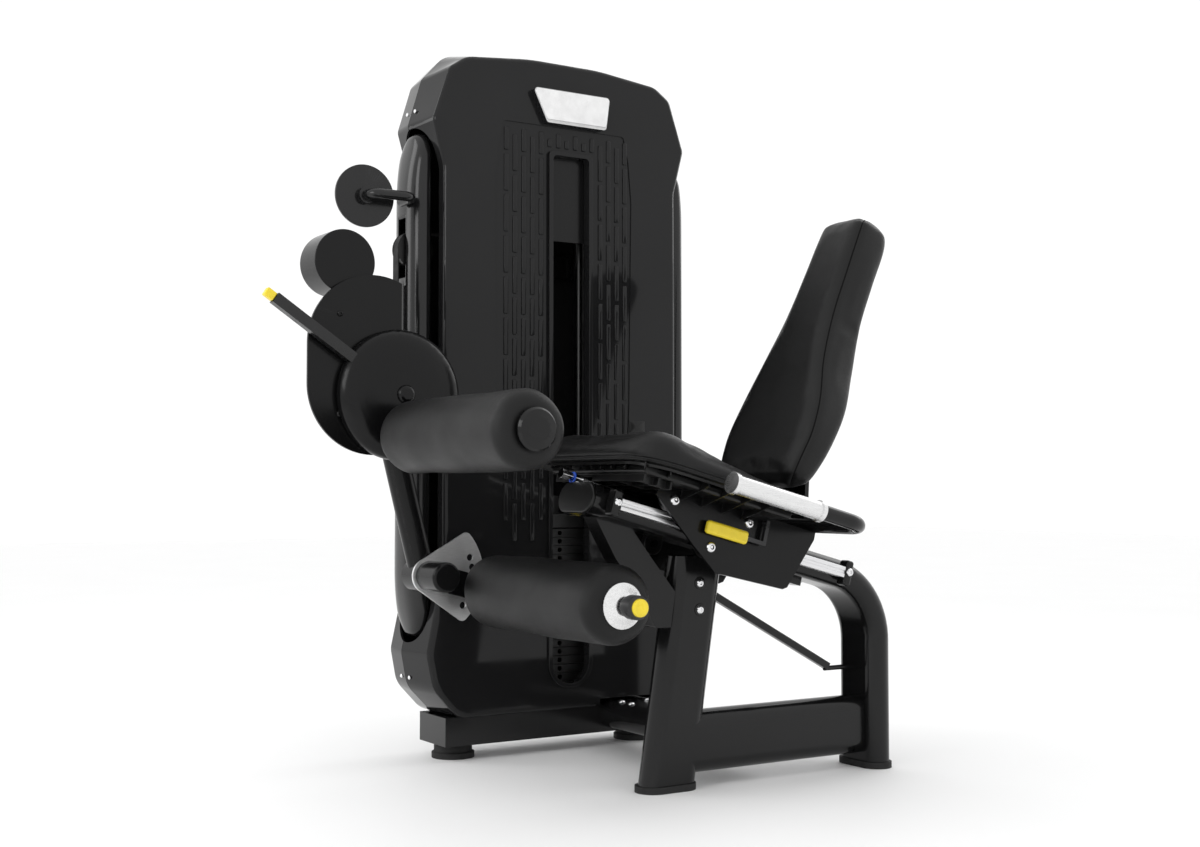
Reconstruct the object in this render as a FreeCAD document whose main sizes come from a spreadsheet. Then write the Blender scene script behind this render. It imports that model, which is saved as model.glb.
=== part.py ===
"""Seated leg extension machine: weight tower, swing arm unit and sliding seat.

Frame: millimetres, +Z up, the user faces -X, the weight tower stands on the +Y side.
The origin is the centre of the front foot's sole, on the floor.
"""
import FreeCAD, Part
import Sketcher
import math
import os

Vector = FreeCAD.Vector
Rotation = FreeCAD.Rotation
Placement = FreeCAD.Placement

SIZES = {
    # weight tower: base, uprights and shrouds
    "tower_x": 58, "tower_y": 563, "tower_face_y": 471, "tower_split_y": 576, "tower_rear_y": 655,
    "base_length": 572, "base_width": 126, "base_height": 62, "base_z": 32, "base_wall": 3,
    "foot_radius": 46.5, "foot_inset": 50,
    "upright_spread": 216, "upright_x": 50, "upright_y": 50, "upright_y_pos": 613, "upright_top": 1440,
    "top_beam_height": 40,
    "column_spread": 332, "column_width": 56, "column_depth": 116, "column_z": 262, "column_top": 1358,
    "column_wall": 4,
    "shroud_wall": 5,
    "arch_width": 128, "arch_z": 252, "arch_top": 1368,
    "window_x": 70, "window_width": 94, "window_z": 150, "window_top": 1328, "window_rim": 10,
    "panel_z": 1138,
    "window_proud": 6, "band_depth": 2.5, "band_half": 177, "band_z": 440, "band_top": 1392,
    # weight stack and belt
    "rod_radius": 12.5, "rod_spread": 96, "rod_behind": 27,
    "plate_width": 250, "plate_depth": 96, "plate_pitch": 19, "plate_thickness": 18.4,
    "plate_count": 20, "picked_plates": 6, "stack_z": 112, "head_height": 34,
    "stem_radius": 11, "pin_radius": 4.8, "belt_width": 26, "belt_thickness": 3,
    "pulley_radius": 38, "pulley_width": 28, "pulley_z": 1100, "cam_radius": 84, "cam_width": 26,
    # seat frame
    "leg_long": 120, "leg_short": 60, "leg_lean": 8.8, "leg_top_z": 452, "tube_wall": 3,
    "rail_angle": 14.6, "rail_z": 514.2, "tube_long": 120, "tube_short": 58, "tube_front": 204,
    "rear_leg_x": 515, "bend_radius": 150, "foot_thickness": 13, "foot_rim": 5,
    "beam_z": 89, "beam_height": 122, "beam_width": 60,
    "cross_x": 220, "cross_z": 72, "cross_long": 120, "cross_short": 62,
    "slide_y": 74, "slide_width": 18, "slide_height": 22, "slide_start": 160, "slide_end": 402,
    # seat carriage, in the sloped rail frame
    "side_plate_y": 104, "side_plate_thickness": 6, "wheel_radius": 21.7, "wheel_width": 16,
    "seat_base_w": 55, "seat_base_height": 17, "seat_width": 420, "seat_front": 214, "seat_rear": 196,
    "grip_y": 255, "grip_w": 70, "grip_radius": 18, "grip_length": 216,
    "handle_radius": 15, "handle_rear": 288, "handle_bend": 50,
    # backrest
    "back_lean": 24.5, "back_plate": 104,
    # arm unit
    "pivot_x": -401, "pivot_z": 771, "axle_radius": 15, "sleeve_radius": 25, "running_gap": 0.05,
    "arm_y": 418, "arm_depth": 48, "arm_width": 54,
    "hub_x": -307, "hub_z": 403, "hub_radius": 31, "hub_near_y": 327, "hub_pin_radius": 18,
    "fan_y": 410, "fan_thickness": 6, "fan_radius": 126,
    "shin_x": -198, "shin_z": 373, "shin_radius": 75, "shin_near_y": -150, "shin_far_y": 345,
    "link_y": 386,
    "thigh_x": -415, "thigh_z": 684, "thigh_radius": 72, "thigh_near_y": -210, "thigh_far_y": 284,
    "shaft_radius": 20, "pull_radius": 6,
    "disc_radius": 132, "disc_rim_y": 366, "disc_face_y": 326,
    "guard_x": -450, "guard_z": 831, "guard_radius": 141, "guard_length": 362, "guard_y": 372,
    "weight_x": -509, "weight_z": 1037, "weight_radius": 64.5, "weight_y": 382, "weight_depth": 82,
    "lever_length": 343, "lever_angle": 34,
    "hook_x": -407, "hook_z": 1201, "hook_radius": 66.5, "hook_tube_radius": 10.5, "hook_y": 520,
}

doc = FreeCAD.newDocument("LegExtension")
sheet = doc.addObject("Spreadsheet::Sheet", "Sizes")
for row, (alias, number) in enumerate(SIZES.items(), start=1):
    sheet.set(f"A{row}", alias)
    sheet.set(f"B{row}", str(number))
    sheet.setAlias(f"B{row}", alias)
doc.recompute()


class Dim:
    """A length with its number and the spreadsheet expression that gives it."""

    def __init__(self, number, text):
        self.number = float(number)
        self.text = text

    def __add__(self, other):
        other = dim(other)
        return Dim(self.number + other.number, f"({self.text} + {other.text})")

    def __sub__(self, other):
        other = dim(other)
        return Dim(self.number - other.number, f"({self.text} - {other.text})")

    def __mul__(self, other):
        other = dim(other)
        return Dim(self.number * other.number, f"({self.text} * {other.text})")

    def __truediv__(self, other):
        other = dim(other)
        return Dim(self.number / other.number, f"({self.text} / {other.text})")

    def __neg__(self):
        return Dim(-self.number, f"(0 - {self.text})")

    __radd__ = __add__

    def __rsub__(self, other):
        return dim(other) - self

    def __rmul__(self, other):
        return self * other

    def __float__(self):
        return self.number


def dim(value):
    return value if isinstance(value, Dim) else Dim(value, f"({float(value)!r})")


class Sheet:
    """Attribute access to the spreadsheet's sizes."""

    def __getattr__(self, alias):
        return Dim(sheet.get(alias), f"Sizes.{alias}")


S = Sheet()
NODES = []


# ---------------------------------------------------------------- helpers
def bind(item, **lengths):
    for prop, value in lengths.items():
        item.setExpression(prop, dim(value).text)
    return item


def place(item, at=(0, 0, 0), turn=None):
    """Rotate an object and bind its position to the sheet."""
    item.Placement = Placement(Vector(*[float(dim(v)) for v in at]), turn or Rotation())
    for axis, value in zip("xyz", at):
        item.setExpression(f"Placement.Base.{axis}", dim(value).text)
    return item


AXIS_TURN = {
    "X": Rotation(Vector(0, 1, 0), 90),
    "Y": Rotation(Vector(1, 0, 0), -90),
    "Z": Rotation(),
}
RAIL_TURN = Rotation(Vector(0, 1, 0), float(S.rail_angle))


def node(item, label):
    """Mark an object as a sub-part that is written to its own file."""
    item.Label = label
    NODES.append(item)
    return item


def box(length, width, height, at, turn=None):
    item = doc.addObject("Part::Box", "Block")
    bind(item, Length=length, Width=width, Height=height)
    return place(item, at, turn)


def rod(axis, radius, length, at):
    item = doc.addObject("Part::Cylinder", "Round")
    bind(item, Radius=radius, Height=length)
    return place(item, at, AXIS_TURN[axis])


def cut(base, *tools):
    for tool in tools:
        item = doc.addObject("Part::Cut", "Cut")
        item.Base = base
        item.Tool = tool
        base = item
    return base


def fuse(*parts):
    item = doc.addObject("Part::MultiFuse", "Fuse")
    item.Shapes = list(parts)
    item.Refine = True
    return item


def common(base, tool):
    item = doc.addObject("Part::Common", "Common")
    item.Base = base
    item.Tool = tool
    return item


def group(*parts):
    """Separate solids of one node."""
    item = doc.addObject("Part::Compound", "Group")
    item.Links = list(parts)
    return item


def rounded(base, radius, pick=lambda edge: True):
    doc.recompute()
    item = doc.addObject("Part::Fillet", "Rounded")
    item.Base = base
    item.Edges = [(n, radius, radius) for n, edge in enumerate(base.Shape.Edges, start=1) if pick(edge)]
    return item


def ring(axis, outer, inner, length, at):
    return cut(rod(axis, outer, length, at), rod(axis, inner, length, at))


def plane(body, role):
    return next(item for item in body.Origin.OriginFeatures if item.Role == role)


def sketch_on(body, role, name="Sketch"):
    sketch = body.newObject("Sketcher::SketchObject", name)
    sketch.AttachmentSupport = [(plane(body, role), "")]
    sketch.MapMode = "FlatFace"
    return sketch


def constrain(sketch, kind, *arguments):
    """Add a dimension whose value follows the sheet."""
    value = dim(arguments[-1])
    number = sketch.addConstraint(Sketcher.Constraint(kind, *arguments[:-1], abs(float(value))))
    sketch.setExpression(f"Constraints[{number}]", value.text)


def slot_outline(sketch, long_side, short_side, upright=False):
    """A flat oval centred on the sketch's origin, its long side level or upright."""
    half = float(long_side - short_side) / 2
    radius = float(short_side) / 2
    first = sketch.GeometryCount
    turn = math.pi / 2 if upright else 0.0
    ends = []
    for side in (1, -1):
        centre = Vector(side * half * math.cos(turn), side * half * math.sin(turn), 0)
        start = turn - math.pi / 2 if side > 0 else turn + math.pi / 2
        circle = Part.Circle(centre, Vector(0, 0, 1), radius)
        sketch.addGeometry(Part.ArcOfCircle(circle, start, start + math.pi))
        ends.append((circle.value(start), circle.value(start + math.pi)))
    sketch.addGeometry(Part.LineSegment(ends[0][1], ends[1][0]))
    sketch.addGeometry(Part.LineSegment(ends[1][1], ends[0][0]))
    near, far, line_a, line_b = range(first, first + 4)
    for kind, *where in (("Tangent", near, 2, line_a, 1), ("Tangent", line_a, 2, far, 1),
                         ("Tangent", far, 2, line_b, 1), ("Tangent", line_b, 2, near, 1),
                         ("Equal", near, far), ("Symmetric", near, 3, far, 3, -1, 1)):
        sketch.addConstraint(Sketcher.Constraint(kind, *where))
    sketch.addConstraint(Sketcher.Constraint("PointOnObject", near, 3, -2 if upright else -1))
    constrain(sketch, "Radius", near, short_side / 2)
    constrain(sketch, "DistanceY" if upright else "DistanceX", far, 3, near, 3, long_side - short_side)


def oval_bar(long_side, short_side, length, role, wall=None, upright=False, at=(0, 0, 0), turn=None,
             label="OvalBar"):
    """A straight flat-oval bar or tube, symmetric about its sketch plane."""
    body = doc.addObject("PartDesign::Body", label)
    sketch = sketch_on(body, role)
    slot_outline(sketch, dim(long_side), dim(short_side), upright)
    if wall is not None:
        slot_outline(sketch, dim(long_side) - wall * 2, dim(short_side) - wall * 2, upright)
    pad = body.newObject("PartDesign::Pad", "Pad")
    pad.Profile = sketch
    pad.SideType = "Symmetric"
    bind(pad, Length=length)
    return place(body, at, turn)


def turned(points, axis="Y", at=(0, 0, 0), label="Turned"):
    """A turned piece: points are (radius, station) pairs along the given axis."""
    body = doc.addObject("PartDesign::Body", label)
    sketch = sketch_on(body, "XY_Plane")
    corners = [Vector(float(dim(r)), float(dim(s)), 0) for r, s in points]
    for number, corner in enumerate(corners):
        sketch.addGeometry(Part.LineSegment(corner, corners[(number + 1) % len(corners)]))
    count = len(corners)
    for number in range(count):
        sketch.addConstraint(Sketcher.Constraint("Coincident", number, 2, (number + 1) % count, 1))
    for number, (radius, station) in enumerate(points):
        for kind, value in (("DistanceX", dim(radius)), ("DistanceY", dim(station))):
            if float(value) > 0:
                constrain(sketch, kind, -1, 1, number, 1, value)
            else:
                sketch.addConstraint(Sketcher.Constraint("PointOnObject", number, 1,
                                                        -2 if kind == "DistanceX" else -1))
    spin = body.newObject("PartDesign::Revolution", "Revolution")
    spin.Profile = sketch
    spin.ReferenceAxis = (sketch, ["V_Axis"])
    spin.Angle = 360
    turns = {"Y": Rotation(), "Z": Rotation(Vector(1, 0, 0), 90), "-X": Rotation(Vector(0, 0, 1), 90),
             "-Y": Rotation(Vector(0, 0, 1), 180)}
    return place(body, at, turns[axis])


def plate_outline(points, thickness, face_y, label, turn=None, base=None):
    """A flat plate in the XZ plane, from face_y towards +Y."""
    body = doc.addObject("PartDesign::Body", label)
    sketch = sketch_on(body, "XZ_Plane")
    corners = [Vector(x, z, 0) for x, z in points]
    count = len(corners)
    for number, corner in enumerate(corners):
        sketch.addGeometry(Part.LineSegment(corner, corners[(number + 1) % count]))
    for number in range(count):
        sketch.addConstraint(Sketcher.Constraint("Coincident", number, 2, (number + 1) % count, 1))
    pad = body.newObject("PartDesign::Pad", "Pad")
    pad.Profile = sketch
    bind(pad, Length=thickness)
    x, z = base or (0, 0)
    return place(body, (x, dim(face_y) + thickness, z), turn)


def on_rail(u, y, w):
    """A point of the sloped seat frame: u along the rails to the rear, w square to them."""
    angle = S.rail_angle.text
    cosine = Dim(math.cos(math.radians(float(S.rail_angle))), f"cos({angle} * 1 deg)")
    sine = Dim(math.sin(math.radians(float(S.rail_angle))), f"sin({angle} * 1 deg)")
    u, w = dim(u), dim(w)
    return (u * cosine + w * sine, dim(y), S.rail_z + w * cosine - u * sine)


def rail_box(length, width, height, u, y, w):
    return box(length, width, height, on_rail(u, y, w), RAIL_TURN)


def rail_rod(radius, length, u, y, w):
    item = doc.addObject("Part::Cylinder", "Round")
    bind(item, Radius=radius, Height=length)
    return place(item, on_rail(u, y, w), RAIL_TURN.multiply(AXIS_TURN["X"]))


def shaped(label, shape):
    item = doc.addObject("Part::Feature", label)
    item.Shape = shape
    return item


def round_polygon(points, radius):
    """A closed wire in the XZ plane with every corner rounded; radius may be a list."""
    radii = radius if isinstance(radius, (list, tuple)) else [radius] * len(points)
    corners = [Vector(x, 0, z) for x, z in points]
    edges, count = [], len(points)
    starts, ends = [], []
    for number in range(count):
        here = corners[number]
        before = (corners[number - 1] - here).normalize()
        after = (corners[(number + 1) % count] - here).normalize()
        half = before.getAngle(after) / 2
        reach = radii[number] / math.tan(half)
        middle = (before + after).normalize() * (radii[number] / math.sin(half))
        first, last = here + before * reach, here + after * reach
        bulge = here + middle + (here - (here + middle)).normalize() * radii[number]
        starts.append(first)
        ends.append(last)
        edges.append(Part.Arc(first, bulge, last).toShape())
    for number in range(count):
        edges.append(Part.LineSegment(ends[number], starts[(number + 1) % count]).toShape())
    return Part.Wire(Part.__sortEdges__(edges))


# ---------------------------------------------------------------- weight tower
def belt_radius():
    """Radius of the belt's inner face on either pulley."""
    return S.pulley_radius + 0.3


def column_pulley_x():
    return S.pivot_x + S.cam_radius + 0.3 + belt_radius() + S.belt_thickness


def stack_pulley_x():
    return S.window_x - belt_radius() - S.belt_thickness / 2


def pulley_pin(x, length, before):
    return rod("Y", 8, length, (x, S.tower_y - before, S.pulley_z))


def tower_frame():
    left = S.tower_x - S.base_length / 2
    near = S.tower_y - 10 - S.base_width / 2
    outer = box(S.base_length, S.base_width, S.base_height, (left, near, S.base_z))
    inner = box(S.base_length - S.base_wall * 2, S.base_width - S.base_wall * 2,
                S.base_height - S.base_wall * 2,
                (left + S.base_wall, near + S.base_wall, S.base_z + S.base_wall))
    node(cut(outer, inner), "tower_base_tube")

    feet = []
    for side in (-1, 1):
        x = S.tower_x + side * (S.base_length / 2 - S.foot_inset)
        profile = [(0, 0), (S.foot_radius, 0), (S.foot_radius, 12), (S.foot_radius - 5, 15),
                   (S.foot_radius - 5, S.base_z), (0, S.base_z)]
        feet.append(turned(profile, "Z", (x, S.tower_y - 10, 0), "TowerFoot"))
    node(group(*feet), "tower_feet")

    base_top = S.base_z + S.base_height
    rear = S.upright_y_pos - S.upright_y / 2
    posts = [box(S.upright_x, S.upright_y - 10, S.upright_top - base_top,
                 (S.tower_x + side * S.upright_spread - S.upright_x / 2, rear, base_top))
             for side in (-1, 1)]
    node(group(*posts), "tower_uprights")
    span = S.upright_spread * 2 + S.upright_x
    top_beam = box(span, rear + S.upright_y - 530, S.top_beam_height,
                   (S.tower_x - span / 2, 530, S.upright_top))
    inner_span = S.upright_spread * 2 - S.upright_x
    beam_y = S.tower_y + S.rod_behind + S.rod_radius + 3.5
    pulley_beam = box(inner_span, rear + S.upright_y - 10 - beam_y, 50,
                      (S.tower_x - inner_span / 2, beam_y, S.pulley_z - 25))
    before = S.pulley_width / 2 + 6
    pin = pulley_pin(stack_pulley_x(), beam_y + 4 - S.tower_y + before, before)
    node(group(top_beam, fuse(pulley_beam, pin)), "tower_crossbeams")


def columns():
    """Bullet-ended oval columns that stand in the arches between the two shrouds."""
    height = S.column_top - S.column_z
    middle = (S.column_top + S.column_z) / 2
    for side, name in ((-1, "left"), (1, "right")):
        x = S.tower_x + side * S.column_spread
        plan = oval_bar(S.column_depth, S.column_width, height, "XY_Plane", upright=True,
                        at=(x, S.tower_y, middle))
        bullet = oval_bar(height, S.column_depth, S.column_width, "YZ_Plane", upright=True,
                          at=(x, S.tower_y, middle))
        taper = shaped("ColumnTaper", column_taper(float(x), side))
        column = common(common(plan, bullet), taper)
        bore_depth = S.column_depth - S.column_wall * 2
        bore = oval_bar(bore_depth, S.column_width - S.column_wall * 2, height - 320, "XY_Plane",
                        upright=True, at=(x, S.tower_y, middle))
        column = cut(column, bore)
        if side < 0:
            slot = box(S.column_width + 8, S.pulley_width + 8, 130,
                       (x - S.column_width / 2 - 4, S.tower_y - S.pulley_width / 2 - 4, S.pulley_z - 62))
            half = S.column_depth / 2 - 2
            column = fuse(cut(column, slot), pulley_pin(column_pulley_x(), half * 2, half))
        gap = S.column_spread - S.column_width / 2 - S.upright_spread - S.upright_x / 2
        start = S.upright_spread + S.upright_x / 2
        pad_x = S.tower_x + start if side > 0 else x + S.column_width / 2 - 4
        pads = [box(gap + 4, 14, 30, (pad_x, 590, z)) for z in (330, 700, 1290)]
        node(fuse(column, *pads), f"side_column_{name}")


def column_taper(x, side):
    """Side outline of a column: its outer face curves inwards over the last part of each end."""
    half = float(S.column_width) / 2
    low, high = float(S.column_z), float(S.column_top)
    outer, inner = x + side * half, x - side * half
    reach = 150
    points = [Vector(inner, 0, low), Vector(inner, 0, high), Vector(outer - side * 22, 0, high),
              Vector(outer, 0, high - reach), Vector(outer, 0, low + reach),
              Vector(outer - side * 22, 0, low)]
    edges = [Part.LineSegment(points[0], points[1]), Part.LineSegment(points[1], points[2]),
             Part.Arc(points[2], Vector(outer - side * 4, 0, high - 70), points[3]),
             Part.LineSegment(points[3], points[4]),
             Part.Arc(points[4], Vector(outer - side * 4, 0, low + 70), points[5]),
             Part.LineSegment(points[5], points[0])]
    face = Part.Face(Part.Wire([edge.toShape() for edge in edges]))
    face.translate(Vector(0, float(S.tower_y) - 80, 0))
    return face.extrude(Vector(0, 160, 0))


SHROUD_RADII = [50, 60, 40, 60, 200, 60, 22, 30, 60, 500]
SHROUD_OUTLINES = {
    # half width and height of each corner, from the foot up to the crown
    "face": [(262, 92), (320, 158), (336, 232), (314, 345), (301, 430), (301, 1275), (327, 1378),
             (286, 1496), (246, 1520), (90, 1537)],
    "seam": [(272, 92), (336, 158), (350, 232), (322, 345), (306, 430), (306, 1275), (341, 1374),
             (308, 1484), (252, 1545), (90, 1558)],
    "rear": [(266, 92), (328, 158), (342, 232), (318, 345), (304, 430), (304, 1275), (332, 1376),
             (300, 1480), (244, 1540), (90, 1552)],
}


def shroud_solid(first, second, near_y, far_y, inset=0.0):
    """One shroud as a loft from one outline to the other, pulled in by the inset."""
    centre = float(S.tower_x)
    wires = []
    for name, y in ((first, near_y), (second, far_y)):
        half = [(x - inset, z + (inset if z < 100 else -inset if z > 1460 else 0))
                for x, z in SHROUD_OUTLINES[name]]
        outline = [(centre + x, z) for x, z in half] + [(centre - x, z) for x, z in half[::-1]]
        wire = round_polygon(outline, SHROUD_RADII + SHROUD_RADII[::-1])
        wire.translate(Vector(0, y, 0))
        wires.append(wire)
    return Part.makeLoft(wires, True, True)


def arch_solid(side):
    """The arched opening in the tower's side, through both shrouds."""
    half = float(S.arch_width) / 2
    low, high = float(S.arch_z) + half, float(S.arch_top) - half
    inner_x = float(S.tower_x) + side * 200
    outer_x = float(S.tower_x) + side * 400
    start = min(inner_x, outer_x)
    y = float(S.tower_y)
    solid = Part.makeBox(200, 2 * half, high - low, Vector(start, y - half, low))
    for z in (low, high):
        solid = solid.fuse(Part.makeCylinder(half, 200, Vector(start, y, z), Vector(1, 0, 0)))
    return solid


def shrouds():
    wall = float(S.shroud_wall)
    low, high = float(S.base_z + S.base_height), float(S.tower_rear_y)
    foot_room = Part.makeBox(500, high - 14 - float(S.tower_face_y), 30,
                             Vector(float(S.tower_x) - 250, float(S.tower_face_y) + 8, low - 4))
    base_room = Part.makeBox(float(S.base_length) + 4, float(S.base_width) + 2, 20.5,
                             Vector(float(S.tower_x - S.base_length / 2) - 2,
                                    float(S.tower_y - S.base_width / 2) - 11, low - 20))
    post_half = float(S.upright_spread + S.upright_x / 2) + 1
    post_room = Part.makeBox(2 * post_half, 43, 24, Vector(float(S.tower_x) - post_half, 586.5, low - 4))
    cross_room = Part.makeBox(140, 60, 30, Vector(float(S.cross_x) - 70, float(S.tower_face_y) - 20, 80))
    for name, near_y, far_y, front in (
            ("front", float(S.tower_face_y), float(S.tower_split_y), True),
            ("rear", float(S.tower_split_y) + 1, float(S.tower_rear_y), False)):
        first, second = ("face", "seam") if front else ("seam", "rear")
        outer = shroud_solid(first, second, near_y, far_y)
        face_y = near_y if front else far_y
        rim = [edge for edge in outer.Edges
               if abs(edge.BoundBox.YMin - face_y) < 0.01 and abs(edge.BoundBox.YMax - face_y) < 0.01]
        outer = outer.makeFillet(12, rim)
        inner = shroud_solid(first, second, near_y + wall, far_y + 1, wall) if front else \
            shroud_solid(first, second, near_y - 1, far_y - wall, wall)
        shell = outer.cut(inner)
        for side in (-1, 1):
            shell = shell.cut(arch_solid(side))
        shell = shell.cut(foot_room).cut(base_room).cut(cross_room).cut(post_room)
        if front:
            shell = window_cut(shell.cut(band_solid()))
        node(shaped(f"{name}_shroud", shell), f"{name}_shroud")


def band_solid():
    """The shallow waisted panel sunk into the front face around the window."""
    x, half = float(S.tower_x) - 2, float(S.band_half)
    low, high = float(S.band_z), float(S.band_top)
    side = [(half - 60, low), (half - 16, low + 60), (half - 4, low + 330), (half, low + 660),
            (half + 2, high - 150), (half - 6, high - 60), (half - 20, high)]
    outline = [(x + dx, z) for dx, z in side] + [(x - dx, z) for dx, z in side[::-1]]
    radii = [30, 60, 300, 300, 200, 60, 8]
    face = Part.Face(round_polygon(outline, radii + radii[::-1]))
    face.translate(Vector(0, float(S.tower_face_y) - 5, 0))
    return face.extrude(Vector(0, 5 + float(S.band_depth), 0))


def window_cut(shell):
    face_y = float(S.tower_face_y)
    opening = window_solid(float(S.window_width) / 2 + float(S.window_rim) - 6, face_y - 5, face_y + 40,
                           float(S.window_z) - 8, float(S.window_top) + 8)
    return shell.cut(opening)


def window_solid(half, near_y, far_y, low, high):
    """A slim upright slot with a round foot and small top corners."""
    x = float(S.window_x)
    wire = round_polygon([(x - half, low), (x + half, low), (x + half, high), (x - half, high)],
                         [half - 0.5, half - 0.5, 10, 10])
    face = Part.Face(wire)
    face.translate(Vector(0, near_y, 0))
    return face.extrude(Vector(0, far_y - near_y, 0))


def window():
    face_y = float(S.tower_face_y)
    half, rim = float(S.window_width) / 2, float(S.window_rim)
    low, high = float(S.window_z), float(S.window_top)
    proud = float(S.window_proud)
    hole = window_solid(half, face_y - 20, face_y + 60, low, high)
    flange = window_solid(half + rim, face_y - proud, face_y - 0.01, low - rim, high + rim)
    sleeve = window_solid(half + rim - 6.2, face_y - proud, face_y + 18, low - 7.8, high + 7.8)
    node(shaped("window_frame", flange.fuse(sleeve).removeSplitter().cut(hole)), "window_frame")
    panel_z = float(S.panel_z)
    panel = Part.makeBox(2 * half + 16, 3, high + 5 - panel_z,
                         Vector(float(S.window_x) - half - 8, face_y + 18.2, panel_z))
    node(shaped("window_panel", panel), "window_panel")


def name_plate():
    """A blank trapezoid badge on its sloping base, high on the front shroud."""
    face_y = float(S.tower_face_y)
    corners = [(-36, 1472), (166, 1472), (156, 1397), (1, 1397)]
    wire = round_polygon(corners, 8)
    face = Part.Face(wire)
    face.translate(Vector(0, face_y - 16, 0))
    base = face.extrude(Vector(0, 15.9, 0))
    face = Part.Face(round_polygon([(-34, 1470), (164, 1470), (155, 1404), (0, 1404)], 7))
    face.translate(Vector(0, face_y - 18.5, 0))
    node(shaped("badge", base.fuse(face.extrude(Vector(0, 2.5, 0)))), "badge")


# ---------------------------------------------------------------- weight stack
def weight_stack():
    x, y = S.window_x, S.tower_y
    rod_y = y + S.rod_behind
    rods = [rod("Z", S.rod_radius, S.upright_top - S.base_z - S.base_height,
                (x + side * S.rod_spread, rod_y, S.base_z + S.base_height)) for side in (-1, 1)]
    bumpers = [rod("Z", 24, S.stack_z - S.base_z - S.base_height,
                   (x + side * S.rod_spread, rod_y, S.base_z + S.base_height)) for side in (-1, 1)]
    node(group(*[fuse(*pair) for pair in zip(rods, bumpers)]), "guide_rods")

    resting = int(float(S.plate_count) - float(S.picked_plates))
    for name, first, count in (("resting_plates", 0, resting),
                               ("picked_plates", resting, int(float(S.picked_plates)))):
        node(plate_row(first, count), name)

    top = S.stack_z + S.plate_pitch * S.plate_count
    head = box(S.plate_width, S.plate_depth, S.head_height,
               (x - S.plate_width / 2, y - S.plate_depth / 2, top))
    head = cut(rounded(head, 5), *rod_holes(top, S.head_height))
    clevis = box(30, S.belt_width + 8, 40, (x - 15, y - S.belt_width / 2 - 4, top + S.head_height))
    pin_z = S.stack_z + S.plate_pitch * (resting + 0.5)
    stem_drop = S.plate_pitch * S.picked_plates + 8
    stem = rod("Z", S.stem_radius, stem_drop + S.head_height + 2, (x, y, top - stem_drop))
    node(cut(head, stem), "head_plate")
    node(cut(fuse(stem, clevis), rod("Y", S.pin_radius + 0.05, 40, (x, y - 20, pin_z))), "lift_stem")
    length = S.plate_depth / 2 + 14
    pin = fuse(rod("Y", S.pin_radius, length, (x, y - S.plate_depth / 2 - 2, pin_z)),
               rod("Y", 11, 12, (x, y - S.plate_depth / 2 - 14, pin_z)))
    node(pin, "selector_pin")


def rod_holes(low, height, gap=0.6):
    return [rod("Z", S.rod_radius + gap, height + 2,
                (S.window_x + side * S.rod_spread, S.tower_y + S.rod_behind, low - 1)) for side in (-1, 1)]


def plate_row(first, count):
    plates = []
    for number in range(first, first + count):
        z = S.stack_z + S.plate_pitch * number
        plate = box(S.plate_width, S.plate_depth, S.plate_thickness,
                    (S.window_x - S.plate_width / 2, S.tower_y - S.plate_depth / 2, z))
        stem = rod("Z", S.stem_radius + 1, S.plate_thickness + 2, (S.window_x, S.tower_y, z - 1))
        pin = rod("Y", S.pin_radius + 0.4, S.plate_depth + 2,
                  (S.window_x, S.tower_y - S.plate_depth / 2 - 1, z + S.plate_pitch / 2))
        plates.append(cut(plate, stem, pin, *rod_holes(z, S.plate_thickness)))
    return group(*plates)


def belt_and_pulleys():
    """The belt climbs from the cam, turns over two pulleys and drops to the weight stack."""
    inner = float(belt_radius())
    outer = inner + float(S.belt_thickness)
    y = float(S.tower_y) - float(S.belt_width) / 2
    centre_z = float(S.pulley_z)
    left, right = float(column_pulley_x()), float(stack_pulley_x())
    low_left = float(S.pivot_z)

    def band(radius):
        return [Vector(left - radius, y, low_left), Vector(left - radius, y, centre_z),
                Vector(left, y, centre_z + radius), Vector(right, y, centre_z + radius),
                Vector(right + radius, y, centre_z)]

    outside, inside = band(outer), band(inner)
    half = math.sqrt(0.5)
    edges = [Part.LineSegment(outside[0], outside[1]).toShape(),
             Part.Arc(outside[1], Vector(left - outer * half, y, centre_z + outer * half),
                      outside[2]).toShape(),
             Part.LineSegment(outside[2], outside[3]).toShape(),
             Part.Arc(outside[3], Vector(right + outer * half, y, centre_z + outer * half),
                      outside[4]).toShape(),
             Part.LineSegment(outside[4], inside[4]).toShape(),
             Part.Arc(inside[4], Vector(right + inner * half, y, centre_z + inner * half),
                      inside[3]).toShape(),
             Part.LineSegment(inside[3], inside[2]).toShape(),
             Part.Arc(inside[2], Vector(left - inner * half, y, centre_z + inner * half),
                      inside[1]).toShape(),
             Part.LineSegment(inside[1], inside[0]).toShape(),
             Part.LineSegment(inside[0], outside[0]).toShape()]
    belt = Part.Face(Part.Wire(edges)).extrude(Vector(0, float(S.belt_width), 0))
    node(shaped("belt", belt), "belt")
    clamp_top = S.stack_z + S.plate_pitch * S.plate_count + S.head_height + 40
    run = box(S.belt_thickness, S.belt_width, S.pulley_z - clamp_top,
              (right + inner, S.tower_y - S.belt_width / 2, clamp_top))
    node(run, "belt_stack_run")

    for name, x in (("column", left), ("stack", right)):
        width = S.pulley_width
        flange = S.pulley_radius + 4.5
        profile = [(8.06, 0), (flange, 0), (flange, 0.5), (S.pulley_radius, 0.9),
                   (S.pulley_radius, width - 0.9), (flange, width - 0.5), (flange, width), (8.06, width)]
        node(turned(profile, "Y", (x, S.tower_y - width / 2, S.pulley_z)), f"{name}_pulley")


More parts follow.
